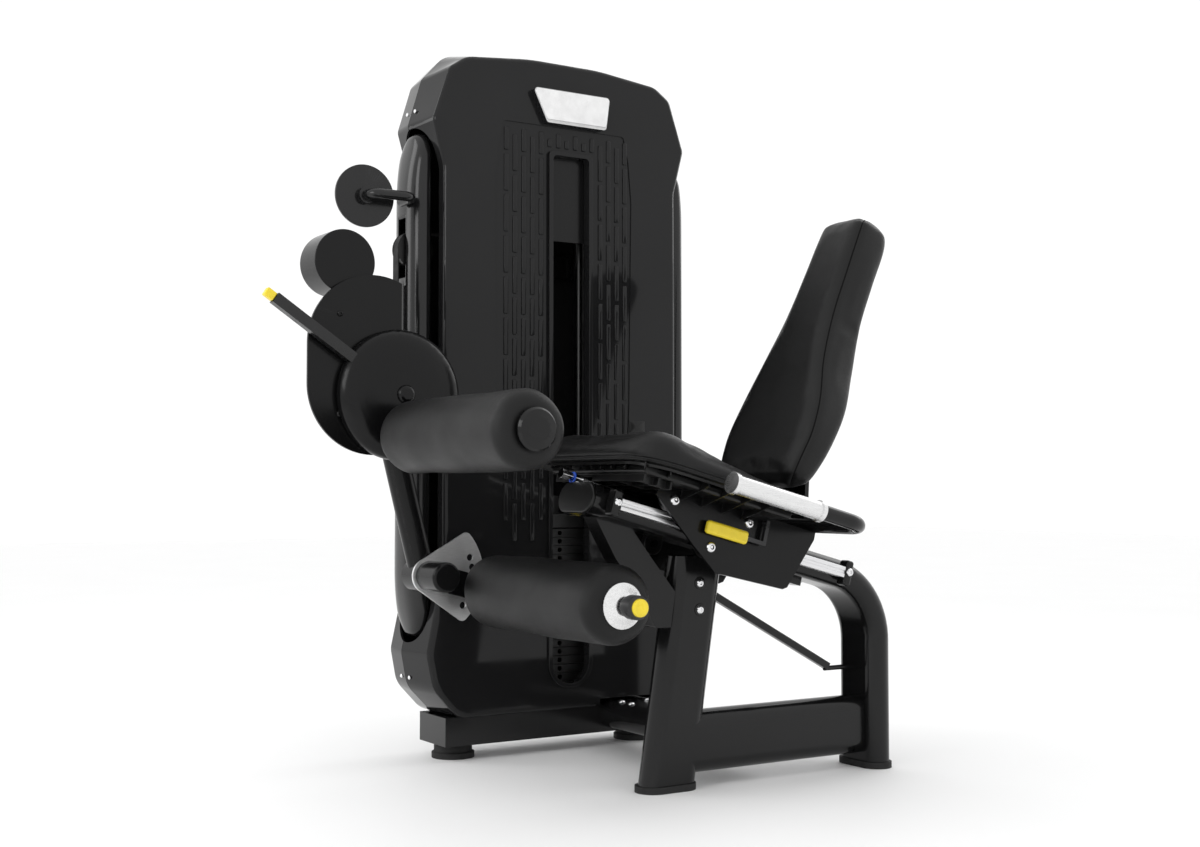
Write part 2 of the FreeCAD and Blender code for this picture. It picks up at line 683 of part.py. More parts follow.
# ---------------------------------------------------------------- seat frame
def front_leg():
    """Raked flat-oval post under the seat rails."""
    rake = math.tan(math.radians(float(S.leg_lean)))
    leg = doc.addObject("PartDesign::Body", "FrontLeg")
    outlines = []
    for name, z in (("Low", S.foot_thickness), ("High", S.leg_top_z)):
        sketch = sketch_on(leg, "XY_Plane", name)
        slot_outline(sketch, S.leg_long, S.leg_short)
        sketch.AttachmentOffset = Placement(Vector(float(z) * rake, 0, float(z)), Rotation())
        outlines.append(sketch)
    loft = leg.newObject("PartDesign::AdditiveLoft", "Loft")
    loft.Profile = outlines[0]
    loft.Sections = outlines[1:]
    loft.Ruled = True
    return leg


def tube_room():
    """The solid that the main tube fills along the slope."""
    return rail_bar(S.tube_long, S.tube_short, 900, 200)


def beam_room():
    return oval_bar(S.beam_height, S.beam_width, 600, "YZ_Plane", upright=True, at=(250, 0, S.beam_z))


def seat_frame():
    leg = cut(front_leg(), tube_room())
    beam_start, beam_end = 10, S.rear_leg_x - S.tube_short / 2 + 10
    beam = oval_bar(S.beam_height, S.beam_width, beam_end - beam_start, "YZ_Plane", upright=True,
                    at=((beam_end + beam_start) / 2, 0, S.beam_z))
    rear_leg = oval_bar(S.tube_long, S.tube_short, 300, "XY_Plane", upright=True, at=(S.rear_leg_x, 0, 120))
    node(leg, "front_leg")
    node(cut(beam, leg, rear_leg), "lower_beam")

    cross_start, cross_end = S.beam_width / 2 - 12, S.tower_y - 10 - S.base_width / 2
    cross = oval_bar(S.cross_long, S.cross_short, cross_end - cross_start, "XZ_Plane",
                     at=(S.cross_x, (cross_start + cross_end) / 2, S.cross_z))
    node(cut(cross, beam_room()), "cross_tube")

    foot_top = S.foot_thickness
    rim = S.foot_rim * 2
    front_foot = oval_bar(S.leg_long + rim, S.leg_short + rim, foot_top, "XY_Plane",
                          at=(0, 0, foot_top / 2))
    rear_foot = oval_bar(S.tube_long + rim, S.tube_short + rim, foot_top, "XY_Plane", upright=True,
                         at=(S.rear_leg_x, 0, foot_top / 2))
    node(group(front_foot, rear_foot), "frame_feet")
    rack = rail_box(200, 30, 16, 150, -15, -S.tube_short / 2 - 15)
    holes = [rail_rod_up(5, 18, 165 + 25 * number, 0, -S.tube_short / 2 - 16) for number in range(7)]
    node(fuse(main_tube(), cut(rack, *holes)), "main_tube")
    end = oval_bar(S.tube_long + 1, S.tube_short + 1, 8, "YZ_Plane", at=on_rail(-S.tube_front - 4, 0, 0),
                   turn=RAIL_TURN)
    node(rounded(end, 3), "main_tube_cap")
    node(cut(front_brace(), leg, tube_room()), "front_brace")
    node(cut(rear_brace(), leg, doc.getObject("MainTube")), "rear_brace")

    bolts = []
    for y in (438, 400):
        for side in (-1, 1):
            bolts.append(bolt_head("Z", S.cross_x + side * 34, y, S.cross_z + S.cross_short / 2))
    for z in (399, 347):
        bolts.append(bolt_head("-Y", 62, -S.leg_short / 2, z))
        bolts.append(bolt_head("Y", 62, S.leg_short / 2, z))
    for u in (-S.slide_start - 10, S.slide_end + 10):
        for side in (-1, 1):
            bolts.append(bolt_head("Y" if side > 0 else "-Y", *on_rail(u, side * (S.slide_y + 11), 2)))
    node(group(*bolts), "frame_bolts")


def rail_bar(long_side, short_side, length, centre_u):
    return oval_bar(long_side, short_side, length, "YZ_Plane", at=on_rail(centre_u, 0, 0), turn=RAIL_TURN)


def bolt_head(axis, x, y, z, radius=8, height=5):
    """A button-head socket screw, its shank end at the given point."""
    profile = [(0, 0), (radius, 0), (radius, height * 0.45), (radius * 0.8, height * 0.85),
               (radius * 0.55, height), (radius * 0.42, height), (radius * 0.42, height * 0.4),
               (0, height * 0.4)]
    return turned(profile, axis, (x, y, z), "Bolt")


def main_tube():
    """One flat-oval tube: the sloped seat rail that bends down into the rear leg."""
    angle = math.radians(float(S.rail_angle))
    start = Vector(*[float(v) for v in on_rail(-S.tube_front, 0, 0)])
    corner = Vector(float(S.rear_leg_x), 0, 0)
    corner.z = float(S.rail_z) - corner.x * math.tan(angle)
    along = Vector(math.cos(angle), 0, -math.sin(angle))
    down = Vector(0, 0, -1)
    turn = math.pi / 2 - angle
    reach = float(S.bend_radius) * math.tan(turn / 2)
    first, last = corner - along * reach, corner + down * reach
    inward = (down - along).normalize()
    centre = corner + inward * (float(S.bend_radius) / math.cos(turn / 2))
    bulge = centre - inward * float(S.bend_radius)
    foot = Vector(corner.x, 0, float(S.foot_thickness))

    body = doc.addObject("PartDesign::Body", "MainTube")
    path = sketch_on(body, "XZ_Plane", "Path")
    flat = [Vector(p.x, p.z, 0) for p in (start, first, bulge, last, foot)]
    path.addGeometry(Part.LineSegment(flat[0], flat[1]))
    path.addGeometry(Part.Arc(flat[1], flat[2], flat[3]))
    path.addGeometry(Part.LineSegment(flat[3], flat[4]))
    profile = body.newObject("Sketcher::SketchObject", "Section")
    profile.AttachmentSupport = [(plane(body, "YZ_Plane"), "")]
    profile.MapMode = "FlatFace"
    slot_outline(profile, S.tube_long, S.tube_short)
    slot_outline(profile, S.tube_long - S.tube_wall * 2, S.tube_short - S.tube_wall * 2)
    profile.AttachmentOffset = Placement(Vector(0, start.z, start.x), Rotation())
    doc.recompute()
    profile.MapMode = "Deactivated"
    profile.Placement = Placement(start, RAIL_TURN.multiply(profile.Placement.Rotation))
    sweep = body.newObject("PartDesign::AdditivePipe", "Sweep")
    sweep.Profile = profile
    sweep.Spine = (path, ["Edge1", "Edge2", "Edge3"])
    sweep.Mode = "Frenet"
    return body


def front_brace():
    """A broad blade from under the front of the rail down to the front leg."""
    outline = [(-182, 545), (-160, 505), (-128, 450), (-64, 372), (-38, 316), (50, 314), (50, 334),
               (-43, 446), (-93, 509), (-100, 545)]
    width = 44
    face = Part.Face(round_polygon(outline, [2, 60, 60, 60, 8, 2, 2, 120, 60, 2]))
    face.translate(Vector(0, -width / 2, 0))
    return shaped("FrontBrace", face.extrude(Vector(0, width, 0)))


def rear_brace():
    """A flat bar from the front leg to the rear leg, its rear end a bent round rod."""
    bar_start, bar_end = Vector(92, 0, 384), Vector(408, 0, 214)
    slope = math.degrees(math.atan2(bar_start.z - bar_end.z, bar_end.x - bar_start.x))
    length = (bar_end - bar_start).Length
    bar = box(length, 12, 15, (bar_start.x, -6, bar_start.z - 8), Rotation(Vector(0, 1, 0), slope))
    tip = rod("X", 5, 84, (403, 0, 209))
    lug = box(34, 16, 24, (84, -8, 372))
    return fuse(bar, tip, lug)


def seat_rails():
    """Two aluminium slides beside the main tube, held by a clamp at each end."""
    length = S.slide_start + S.slide_end
    slides, clamps = [], []
    for side in (-1, 1):
        y = side * S.slide_y - S.slide_width / 2
        bar = rail_box(length, S.slide_width, S.slide_height, -S.slide_start, y, -S.slide_height / 2)
        groove_y = side * (S.slide_y + S.slide_width / 2) - 1.5
        slides.append(cut(bar, rail_box(length + 2, 3, 6, -S.slide_start - 1, groove_y, -3)))
        for u in (-S.slide_start - 20, S.slide_end):
            block = rounded(rail_box(20, 26, 52, u, side * (S.slide_y - 2) - 13, -26), 6)
            clamps.append(cut(block, tube_room()))
    node(group(*slides), "slide_rails")
    node(group(*clamps), "rail_end_clamps")

    shaft_w = S.tube_short / 2 + 12
    shaft = fuse(rail_rod(7, 520, -222, 34, shaft_w), rail_rod(10, 12, -234, 34, shaft_w))
    blocks = [cut(rail_box(22, 26, 20, u, 21, S.tube_short / 2 - 8), tube_room()) for u in (-190, 250)]
    node(fuse(shaft, *blocks), "buffer_shaft")


def rail_rod_up(radius, length, u, y, w):
    item = doc.addObject("Part::Cylinder", "Round")
    bind(item, Radius=radius, Height=length)
    return place(item, on_rail(u, y, w), RAIL_TURN)


# ---------------------------------------------------------------- seat carriage
def carriage():
    thick = S.side_plate_thickness
    outline = [(-106, 34), (-98, 55), (286, 55), (286, 40), (242, -66), (232, -72), (64, -78), (52, -70),
               (2, -39)]
    halves = []
    wheels = {name: [] for name in WHEELS}
    for side in (-1, 1):
        face_y = side * S.side_plate_y - thick / 2
        parts = []
        parts.append(plate_outline(outline, thick, face_y, "SidePlate", RAIL_TURN, base=(0, S.rail_z)))
        for name, (u, over) in WHEELS.items():
            w = over * (S.slide_height / 2 + S.wheel_radius + 0.3)
            pin_start = S.side_plate_y - S.wheel_width - 9
            pin_y = pin_start if side > 0 else -(pin_start + S.wheel_width + 12)
            parts.append(rod("Y", 8, S.wheel_width + 12, on_rail(u, pin_y, w)))
            parts.append(bolt_head("Y" if side > 0 else "-Y", *on_rail(u, side * (S.side_plate_y + 3), w),
                                   radius=10, height=7))
            width = S.wheel_width
            centre = side * (S.side_plate_y - 4.5 - width / 2)
            profile = [(8.05, 0), (S.wheel_radius - 1, 0), (S.wheel_radius, 1), (S.wheel_radius, width - 1),
                       (S.wheel_radius - 1, width), (8.05, width)]
            wheels[name].append(turned(profile, "Y", on_rail(u, centre - width / 2, w), "Wheel"))
        halves.append(fuse(*parts))
    inner = S.side_plate_y - thick / 2
    ties = [rail_box(60, inner * 2, 5, 205, -inner, 50), rail_box(25, inner * 2, 5, -37, -inner, 50)]
    node(group(*halves, *ties), "carriage_frame")
    for name, pair in wheels.items():
        node(group(*pair), name)

    width, top = S.seat_width, S.seat_base_w
    base = rounded(rail_box(S.seat_front + S.seat_rear - 56, width - 90, S.seat_base_height,
                            -S.seat_front + 34, -width / 2 + 45, top), 6)
    ribs = [rail_box(5, width - 110, 14, u, -width / 2 + 55, top - 14) for u in (-172, -140, -112)]
    ribs += [rail_box(62, 5, 14, -172, y, top - 14) for y in (-140, -70, 65, 135)]
    shaft_room = rail_box(200, 26, 10, -210, 21, 40)
    node(cut(fuse(base, *ribs), shaft_room), "seat_base")
    node(seat_cushion(), "seat_cushion")
    node(backrest(), "backrest_cushion")
    handles()
    node(cut(back_bracket(), doc.getObjectsByLabel("handle_tube")[0]), "back_bracket")


WHEELS = {"front_wheels": (-63, 1), "rear_wheels": (118, 1), "lower_wheels": (40, -1)}


def seat_cushion():
    """Thick padded seat: high behind its rolled front edge, thinner towards the rear."""
    low = float(S.seat_base_w) + float(S.seat_base_height) + 0.4
    half = float(S.seat_width) / 2
    outline = [(-196, low), (196, low), (194, 102), (80, 117), (-80, 138), (-168, 146), (-206, 136),
               (-214, 100)]
    face = Part.Face(round_polygon(outline, [12, 12, 12, 200, 200, 40, 28, 18]))
    face.translate(Vector(0, -half, 0))
    solid = face.extrude(Vector(0, 2 * half, 0))
    solid.Placement = Placement(Vector(*[float(v) for v in on_rail(0, 0, 0)]), RAIL_TURN)
    return shaped("seat_cushion", solid)


def back_axis(length, depth, y=0.0):
    """A point of the backrest: length up along it, depth behind its front face."""
    lean = math.radians(float(S.back_lean))
    foot = Vector(200, 0, 596)
    up = Vector(math.sin(lean), 0, math.cos(lean))
    behind = Vector(math.cos(lean), 0, -math.sin(lean))
    return foot + up * length + behind * depth + Vector(0, y, 0)


BACK_STATIONS = [
    # length up the pad, half width, depth of its front face, depth of its rear face
    (4, 116, 14, 52), (24, 128, 4, 66), (60, 137, 0, 75), (115, 144, 0, 82), (190, 134, -1, 94),
    (280, 107, -5, 100), (385, 86, -4, 96), (490, 78, -2, 97), (580, 72, 0, 100), (612, 68, 3, 92),
    (627, 60, 14, 78),
]


def backrest():
    """Tapered pad: wide and bulging at the lumbar, narrow at the top."""
    sections = [back_section(*station) for station in BACK_STATIONS]
    return shaped("backrest", Part.makeLoft(sections, True, False))


def back_section(height, half, front, rear):
    corner = min(24, (rear - front) * 0.38)
    points = [(front, -half), (front, half), (rear, half), (rear, -half)]
    corners = [back_axis(height, d, y) for d, y in points]
    edges, joins = [], []
    for number, here in enumerate(corners):
        before = (corners[number - 1] - here).normalize()
        after = (corners[(number + 1) % 4] - here).normalize()
        first, last = here + before * corner, here + after * corner
        middle = here + (before + after) * corner * (1 - math.sqrt(0.5))
        edges.append(Part.Arc(first, middle, last).toShape())
        joins.append((first, last))
    for number in range(4):
        edges.append(Part.LineSegment(joins[number][1], joins[(number + 1) % 4][0]).toShape())
    return Part.Wire(Part.__sortEdges__(edges))


def back_bracket():
    """A bent steel plate that carries the backrest from the carriage."""
    lean = Rotation(Vector(0, 1, 0), float(S.back_lean))
    foot = back_axis(60, float(S.back_plate))
    upright = box(8, 90, 260, (foot.x, -45, foot.z), lean)
    arm = rail_box(96, 90, 10, 208, -45, 55.2)
    knee = box(10, 90, 100, (foot.x - 6, -45, foot.z - 88), Rotation(Vector(0, 1, 0), 3))
    return fuse(upright, knee, arm)


def handles():
    """A U-shaped tube behind the seat with an aluminium grip at each front end."""
    body = doc.addObject("PartDesign::Body", "HandleTube")
    path = sketch_on(body, "XY_Plane", "Path")
    y, rear, bend = float(S.grip_y), float(S.handle_rear), float(S.handle_bend)
    front = 166.0
    half = bend * (1 - math.sqrt(0.5))
    points = [(front, -y), (rear - bend, -y), (rear - half, -y + half), (rear, -y + bend),
              (rear, y - bend), (rear - half, y - half), (rear - bend, y), (front, y)]
    flat = [Vector(u, v, 0) for u, v in points]
    path.addGeometry(Part.LineSegment(flat[0], flat[1]))
    path.addGeometry(Part.Arc(flat[1], flat[2], flat[3]))
    path.addGeometry(Part.LineSegment(flat[3], flat[4]))
    path.addGeometry(Part.Arc(flat[4], flat[5], flat[6]))
    path.addGeometry(Part.LineSegment(flat[6], flat[7]))
    profile = sketch_on(body, "YZ_Plane", "Section")
    profile.addGeometry(Part.Circle(Vector(-y, 0, 0), Vector(0, 0, 1), float(S.handle_radius)))
    constrain(profile, "Radius", 0, S.handle_radius)
    profile.AttachmentOffset = Placement(Vector(0, 0, front), Rotation())
    sweep = body.newObject("PartDesign::AdditivePipe", "Sweep")
    sweep.Profile = profile
    sweep.Spine = (path, [f"Edge{number}" for number in range(1, 6)])
    place(body, on_rail(0, 0, S.grip_w), RAIL_TURN)
    stays = [rail_box(S.handle_rear - 265, 12, 12, 265, side * 60 - 6, 43) for side in (-1, 1)]
    stays += [rail_box(12, 12, 24, S.handle_rear - 6, side * 60 - 6, 43) for side in (-1, 1)]
    node(fuse(body, *stays), "handle_tube")
    grips = []
    for side in (-1, 1):
        core = rail_rod(S.grip_radius, S.grip_length, -50, side * S.grip_y, S.grip_w)
        collars = [rail_rod(S.grip_radius + 2.5, 9, u, side * S.grip_y, S.grip_w)
                   for u in (-50, S.grip_length - 59)]
        grips.append(fuse(core, *collars))
    node(group(*grips), "hand_grips")


def seat_lever():
    """Yellow lever on a cranked rod; lifting it frees the carriage."""
    y = -118
    handle = rounded(rail_box(100, 14, 26, 13, y - 7, -11), 6.5)
    crank = fuse(rail_box(48, 8, 8, 110, y - 4, -3), rail_box(8, 8, 50, 150, y - 4, -3),
                 rod("Y", 5, 12.6, on_rail(154, y - 2, 42)))
    node(group(cut(handle, crank), crank), "seat_lever")


# ---------------------------------------------------------------- arm unit
def pivot():
    x, z, y = S.pivot_x, S.pivot_z, S.tower_y
    column_face = S.tower_x - S.column_spread
    plates = []
    near_axle = y + 42
    for plate_y in (y - 28, y + 18, near_axle):
        flange = oval_bar(150, 110, 10, "XZ_Plane", upright=True, at=(x, plate_y + 5, z))
        arm = box(column_face - x, 10, 150, (x, plate_y, z - 75))
        bore = S.sleeve_radius + S.running_gap if plate_y is not near_axle else S.axle_radius
        plates.append(cut(fuse(flange, arm), rod("Y", bore, 14, (x, plate_y - 2, z)), column_room()))
    ties = [box(60, 24, 12, (column_face - 90, y + 28, z + dz)) for dz in (-70, 58)]
    ties = [cut(tie, column_room()) for tie in ties]
    node(fuse(*plates, *ties), "pivot_bracket")
    axle_start = S.disc_face_y + 2
    axle_cap = turned([(0, 0), (11, 0), (16, 3), (19, 8), (19, 9.5), (0, 9.5)], "Y",
                      (x, S.disc_face_y - 10, z), "AxleCap")
    neck = rod("Y", S.axle_radius - 3, 6, (x, S.disc_face_y - 2, z))
    axle = rod("Y", S.axle_radius, y + 52 - axle_start, (x, axle_start, z))
    node(fuse(axle, neck, axle_cap), "main_axle")
    cam = ring("Y", S.cam_radius, S.sleeve_radius, S.cam_width, (x, y - S.cam_width / 2, z))
    windows = [rod("Y", 15, S.cam_width + 2, (x + 54 * math.cos(a), y - S.cam_width / 2 - 1,
                                              z + 54 * math.sin(a)))
               for a in [math.radians(30 + 60 * n) for n in range(6)]]
    node(cut(cam, *windows), "belt_cam")


def column_room():
    """The solid that the left column fills."""
    return oval_bar(S.column_depth, S.column_width, 900, "XY_Plane", upright=True,
                    at=(S.tower_x - S.column_spread, S.tower_y, 850))


def swing_arm():
    x, z = S.pivot_x, S.pivot_z
    run = Vector(float(S.hub_x - x), 0, float(S.hub_z - z))
    tilt = Rotation(Vector(0, 1, 0), -math.degrees(math.atan2(run.x, -run.z)))
    middle_x, middle_z = (x + S.hub_x) / 2, (z + S.hub_z) / 2
    tube = oval_bar(S.arm_width, S.arm_depth, run.Length, "XY_Plane",
                    at=(middle_x, S.arm_y + S.arm_depth / 2, middle_z), turn=tilt)
    boss = rod("Y", 46, S.arm_depth, (x, S.arm_y, z))
    low_boss = rod("Y", S.hub_radius + 4, S.arm_depth + 6, (S.hub_x, S.arm_y - 2, S.hub_z))
    bore = rod("Y", S.sleeve_radius, 200, (x, S.arm_y - 60, z))
    pin = rod("Y", S.hub_pin_radius, S.arm_y + 20 - S.hub_near_y - 8, (S.hub_x, S.hub_near_y + 8, S.hub_z))
    pin_room = rod("Y", S.hub_pin_radius, 22, (S.hub_x, S.arm_y - 2, S.hub_z))
    sleeve_bore = S.axle_radius + S.running_gap
    sleeve = ring("Y", S.sleeve_radius, sleeve_bore, S.tower_y + 30 - 398, (x, 398, z))
    node(fuse(cut(fuse(tube, boss, low_boss), bore, pin_room), sleeve, pin), "swing_arm")

    fan = fan_plate()
    node(fan, "index_plate")
    reach = Vector(float(S.weight_x - x), 0, float(S.weight_z - z))
    lean = Rotation(Vector(0, 1, 0), math.degrees(math.atan2(reach.x, reach.z)))
    half_bar = 21
    offset = lean.multVec(Vector(-half_bar, 0, 0))
    bar = box(2 * half_bar, 16, reach.Length, (x + offset.x, 447, z + offset.z), lean)
    weight = rod("Y", S.weight_radius, S.weight_depth, (S.weight_x, S.weight_y, S.weight_z))
    node(fuse(cut(bar, boss), rounded(weight, 2.5)), "counterweight")


def fan_plate():
    """Sector plate with a curved row of notched holes for the shin link's pin."""
    x, z = float(S.hub_x), float(S.hub_z)
    radius = float(S.fan_radius)
    root = float(S.hub_radius) + 6
    low, high = math.radians(-52), math.radians(46)
    top_turn, low_turn = high + math.radians(66), low - math.radians(66)

    def at(r, a):
        return Vector(x + r * math.cos(a), 0, z + r * math.sin(a))

    middle = math.pi
    edges = [Part.Arc(at(radius, low), at(radius, (low + high) / 2), at(radius, high)).toShape(),
             Part.LineSegment(at(radius, high), at(root, top_turn)).toShape(),
             Part.Arc(at(root, top_turn), at(root, middle), at(root, low_turn)).toShape(),
             Part.LineSegment(at(root, low_turn), at(radius, low)).toShape()]
    face = Part.Face(Part.Wire(edges))
    face.translate(Vector(0, float(S.fan_y), 0))
    solid = face.extrude(Vector(0, float(S.fan_thickness), 0))
    corners = [edge for edge in solid.Edges if edge.BoundBox.YLength > 5
               and (edge.CenterOfMass - Vector(x, edge.CenterOfMass.y, z)).Length > radius - 2]
    solid = solid.makeFillet(12, corners)
    rest = math.atan2(float(S.shin_z) - z, float(S.shin_x) - x)
    pitch = math.hypot(float(S.shin_z) - z, float(S.shin_x) - x)
    for step in range(-2, 4):
        angle = rest + math.radians(12 * step)
        if low + 0.12 < angle < high - 0.12:
            spot = at(pitch - 12, angle)
            solid = solid.cut(Part.makeCylinder(7.5, 20, Vector(spot.x, float(S.fan_y) - 5, spot.z),
                                                Vector(0, 1, 0)))
    pin = Part.makeCylinder(float(S.hub_pin_radius), 30, Vector(x, float(S.fan_y) - 8, z), Vector(0, 1, 0))
    return shaped("index_plate", solid.cut(pin))


def near_rim(edge):
    """The rim of the hub sleeve that faces the seat."""
    return edge.BoundBox.YMax < float(S.hub_near_y) + 0.1


def shin_unit():
    """Link that turns on the hub pin and carries the shin roller."""
    x, z = S.hub_x, S.hub_z
    sleeve = rod("Y", S.hub_radius, S.fan_y - 2 - S.hub_near_y, (x, S.hub_near_y, z))
    bore = rod("Y", S.hub_pin_radius + S.running_gap, S.fan_y - S.hub_near_y, (x, S.hub_near_y + 7.5, z))
    run = Vector(float(S.shin_x - x), 0, float(S.shin_z - z))
    slope = Rotation(Vector(0, 1, 0), math.degrees(math.atan2(-run.z, run.x)))
    link_y = S.link_y
    link = oval_bar(run.Length + 52, 52, 12, "XZ_Plane",
                    at=((x + S.shin_x) / 2, link_y + 6, (z + S.shin_z) / 2), turn=slope)
    node(cut(fuse(rounded(sleeve, 7, near_rim), link), bore,
             rod("Y", S.pull_radius + 0.3, 400, (S.shin_x, 200, S.shin_z)),
             rod("Y", S.shaft_radius, 4, (S.shin_x, link_y, S.shin_z))), "shin_link")
    shaft_start = S.shin_near_y - 7
    shaft = ring("Y", S.shaft_radius, S.pull_radius + 0.3, link_y + 4 - shaft_start,
                 (S.shin_x, shaft_start, S.shin_z))
    roller("shin", S.shin_x, S.shin_z, S.shin_near_y, S.shin_far_y, S.shin_radius)
    washer = [(S.pull_radius + 0.5, 2), (16, 0), (22, 1), (35, 8), (42, 11), (42, 13.5), (33, 13), (20, 9),
              (S.pull_radius + 0.5, 9)]
    dish = turned(washer, "Y", (S.shin_x, S.shin_near_y - 13.9, S.shin_z), "Dish")
    node(fuse(shaft, dish), "shin_roller_shaft")
    knob_y = S.shin_near_y - 16
    knob = [(0, 0), (17, 0), (22, 4), (22, 26), (18, 30), (18, 38), (14, 40), (0, 40)]
    body = turned(knob, "Y", (S.shin_x, knob_y - 40, S.shin_z), "Knob")
    end = turned([(0, 0), (13, 0), (16, 2), (16, 8), (0, 8)], "Y", (S.shin_x, knob_y - 47, S.shin_z), "Cap")
    pull = rod("Y", S.pull_radius, S.fan_y - 1 - knob_y, (S.shin_x, knob_y, S.shin_z))
    node(fuse(body, end, pull), "pull_knob")


def roller(name, x, z, near_y, far_y, radius):
    """A foam roller, free to turn on its shaft."""
    length = far_y - near_y
    bore = rod("Y", S.shaft_radius + S.running_gap, length + 4, (x, near_y - 2, z))
    node(cut(rounded(rod("Y", radius, length, (x, near_y, z)), 16), bore), f"{name}_roller_pad")


def thigh_unit():
    """Domed disc with its lever; it swings the thigh roller down on to the legs."""
    x, z = S.pivot_x, S.pivot_z
    rim, face = S.disc_rim_y, S.disc_face_y
    depth = rim - face
    rim_radius = S.disc_radius
    profile = [(S.axle_radius + S.running_gap, 0), (60, 1), (84, 3), (104, 7), (119, 13), (128, 21),
               (rim_radius, 30), (rim_radius, depth), (rim_radius - 4, depth), (rim_radius - 4, 31),
               (123, 23), (115, 16), (101, 11), (82, 7), (46, 5), (46, depth - 2),
               (S.axle_radius + S.running_gap, depth - 2)]
    disc = turned(profile, "Y", (x, face, z), "Disc")
    angle = math.radians(float(S.lever_angle))
    turn = Rotation(Vector(0, 1, 0), -(180 - float(S.lever_angle)))
    start = 50
    along = Vector(-math.cos(angle), 0, math.sin(angle))
    side = turn.multVec(Vector(0, 0, 1))
    corner = along * start - side * 11
    lever = box(S.lever_length - start - 22, 20, 22, (x + corner.x, 344, z + corner.z), turn)
    tip_at = along * (float(S.lever_length) - 22) - side * 9
    tip = box(22, 16, 18, (x + tip_at.x, 347, z + tip_at.z), turn)
    shaft = rod("Y", S.shaft_radius, depth + 328 - S.thigh_near_y,
                (S.thigh_x, S.thigh_near_y - 8, S.thigh_z))
    node(cut(disc, lever, shaft), "pivot_disc")
    node(fuse(lever, rounded(tip, 3)), "start_lever")
    roller("thigh", S.thigh_x, S.thigh_z, S.thigh_near_y, S.thigh_far_y, S.thigh_radius)
    cap = turned([(0, 0), (20, 0), (34, 4), (38, 9), (38, 13), (0, 13)], "Y",
                 (S.thigh_x, S.thigh_near_y - 19.3, S.thigh_z), "EndCap")
    node(fuse(shaft, cap), "thigh_roller_shaft")


def guard_and_hook():
    outline = oval_bar(S.guard_length, S.guard_radius * 2, 6, "XZ_Plane", upright=True,
                       at=(S.guard_x, S.guard_y + 3, S.guard_z))
    corner = box(200, 20, 300, (S.pivot_x + 11, S.guard_y - 5, S.pivot_z + 84))
    plate = cut(outline, corner)
    bore = rod("Y", S.axle_radius, 20, (S.pivot_x, S.guard_y - 1, S.pivot_z))
    collar = rod("Y", S.axle_radius + 9, 16, (S.pivot_x, S.guard_y, S.pivot_z))
    screws = [bolt_head("-Y", bx, S.guard_y, bz, radius=6, height=4)
              for bx, bz in ((-524, 731), (-430, 690), (-524, 930))]
    node(cut(fuse(plate, collar, *screws), bore), "guard_plate")

    x, z, y = S.hook_x, S.hook_z, S.hook_y
    disc = rounded(rod("Y", S.hook_radius, 7, (x, y, z)), 1.5)
    hub = rod("Y", 18, 14, (x, y - 13, z))
    body = doc.addObject("PartDesign::Body", "HookTube")
    path = sketch_on(body, "XY_Plane", "Path")
    near, bend = float(y) - 40, 24.0
    reach = float(S.tower_x - S.column_spread - S.column_width / 2 - S.hook_tube_radius + 0.5 - x)
    part = bend * (1 - math.sqrt(0.5))
    points = [(0, float(y) - 4), (0, near + bend), (part, near + part), (bend, near), (reach - bend, near),
              (reach - part, near + part), (reach, near + bend), (reach, float(S.tower_y) - 18)]
    flat = [Vector(px, py, 0) for px, py in points]
    path.addGeometry(Part.LineSegment(flat[0], flat[1]))
    path.addGeometry(Part.Arc(flat[1], flat[2], flat[3]))
    path.addGeometry(Part.LineSegment(flat[3], flat[4]))
    path.addGeometry(Part.Arc(flat[4], flat[5], flat[6]))
    path.addGeometry(Part.LineSegment(flat[6], flat[7]))
    profile = sketch_on(body, "XZ_Plane", "Section")
    profile.addGeometry(Part.Circle(Vector(0, 0, 0), Vector(0, 0, 1), float(S.hook_tube_radius)))
    constrain(profile, "Radius", 0, S.hook_tube_radius)
    profile.AttachmentOffset = Placement(Vector(0, 0, -float(y) + 4), Rotation())
    sweep = body.newObject("PartDesign::AdditivePipe", "Sweep")
    sweep.Profile = profile
    sweep.Spine = (path, [f"Edge{number}" for number in range(1, 6)])
    place(body, (x, 0, z))
    node(cut(fuse(disc, hub, body), column_room()), "storage_hook")


def write_nodes():
    doc.recompute()
    for item in doc.Objects:
        if {"Invalid", "Error"} & set(item.State):
            raise RuntimeError(f"{item.Name} ({item.Label}) failed: {item.State}")
    os.makedirs("parts", exist_ok=True)
    for item in NODES:
        shape = item.Shape
        if shape.isNull() or not shape.isValid():
            raise RuntimeError(f"{item.Label} has no valid shape")
        shape.exportStep(f"parts/{item.Label}.step")
        box_size = shape.BoundBox
        print(f"{item.Label:26s} solids {len(shape.Solids):2d} volume {shape.Volume / 1000:9.1f} cm3 "
              f"x {box_size.XMin:.0f}..{box_size.XMax:.0f} y {box_size.YMin:.0f}..{box_size.YMax:.0f} "
              f"z {box_size.ZMin:.0f}..{box_size.ZMax:.0f}")


tower_frame()
columns()
shrouds()
window()
name_plate()
weight_stack()
belt_and_pulleys()
seat_frame()
seat_rails()
carriage()
seat_lever()
pivot()
swing_arm()
shin_unit()
thigh_unit()
guard_and_hook()
print(len(NODES), "nodes")
write_nodes()
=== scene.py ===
"""Looks of the leg extension machine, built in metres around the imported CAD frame."""

import math

import bmesh
import bpy
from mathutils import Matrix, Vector, kdtree
from mathutils.bvhtree import BVHTree


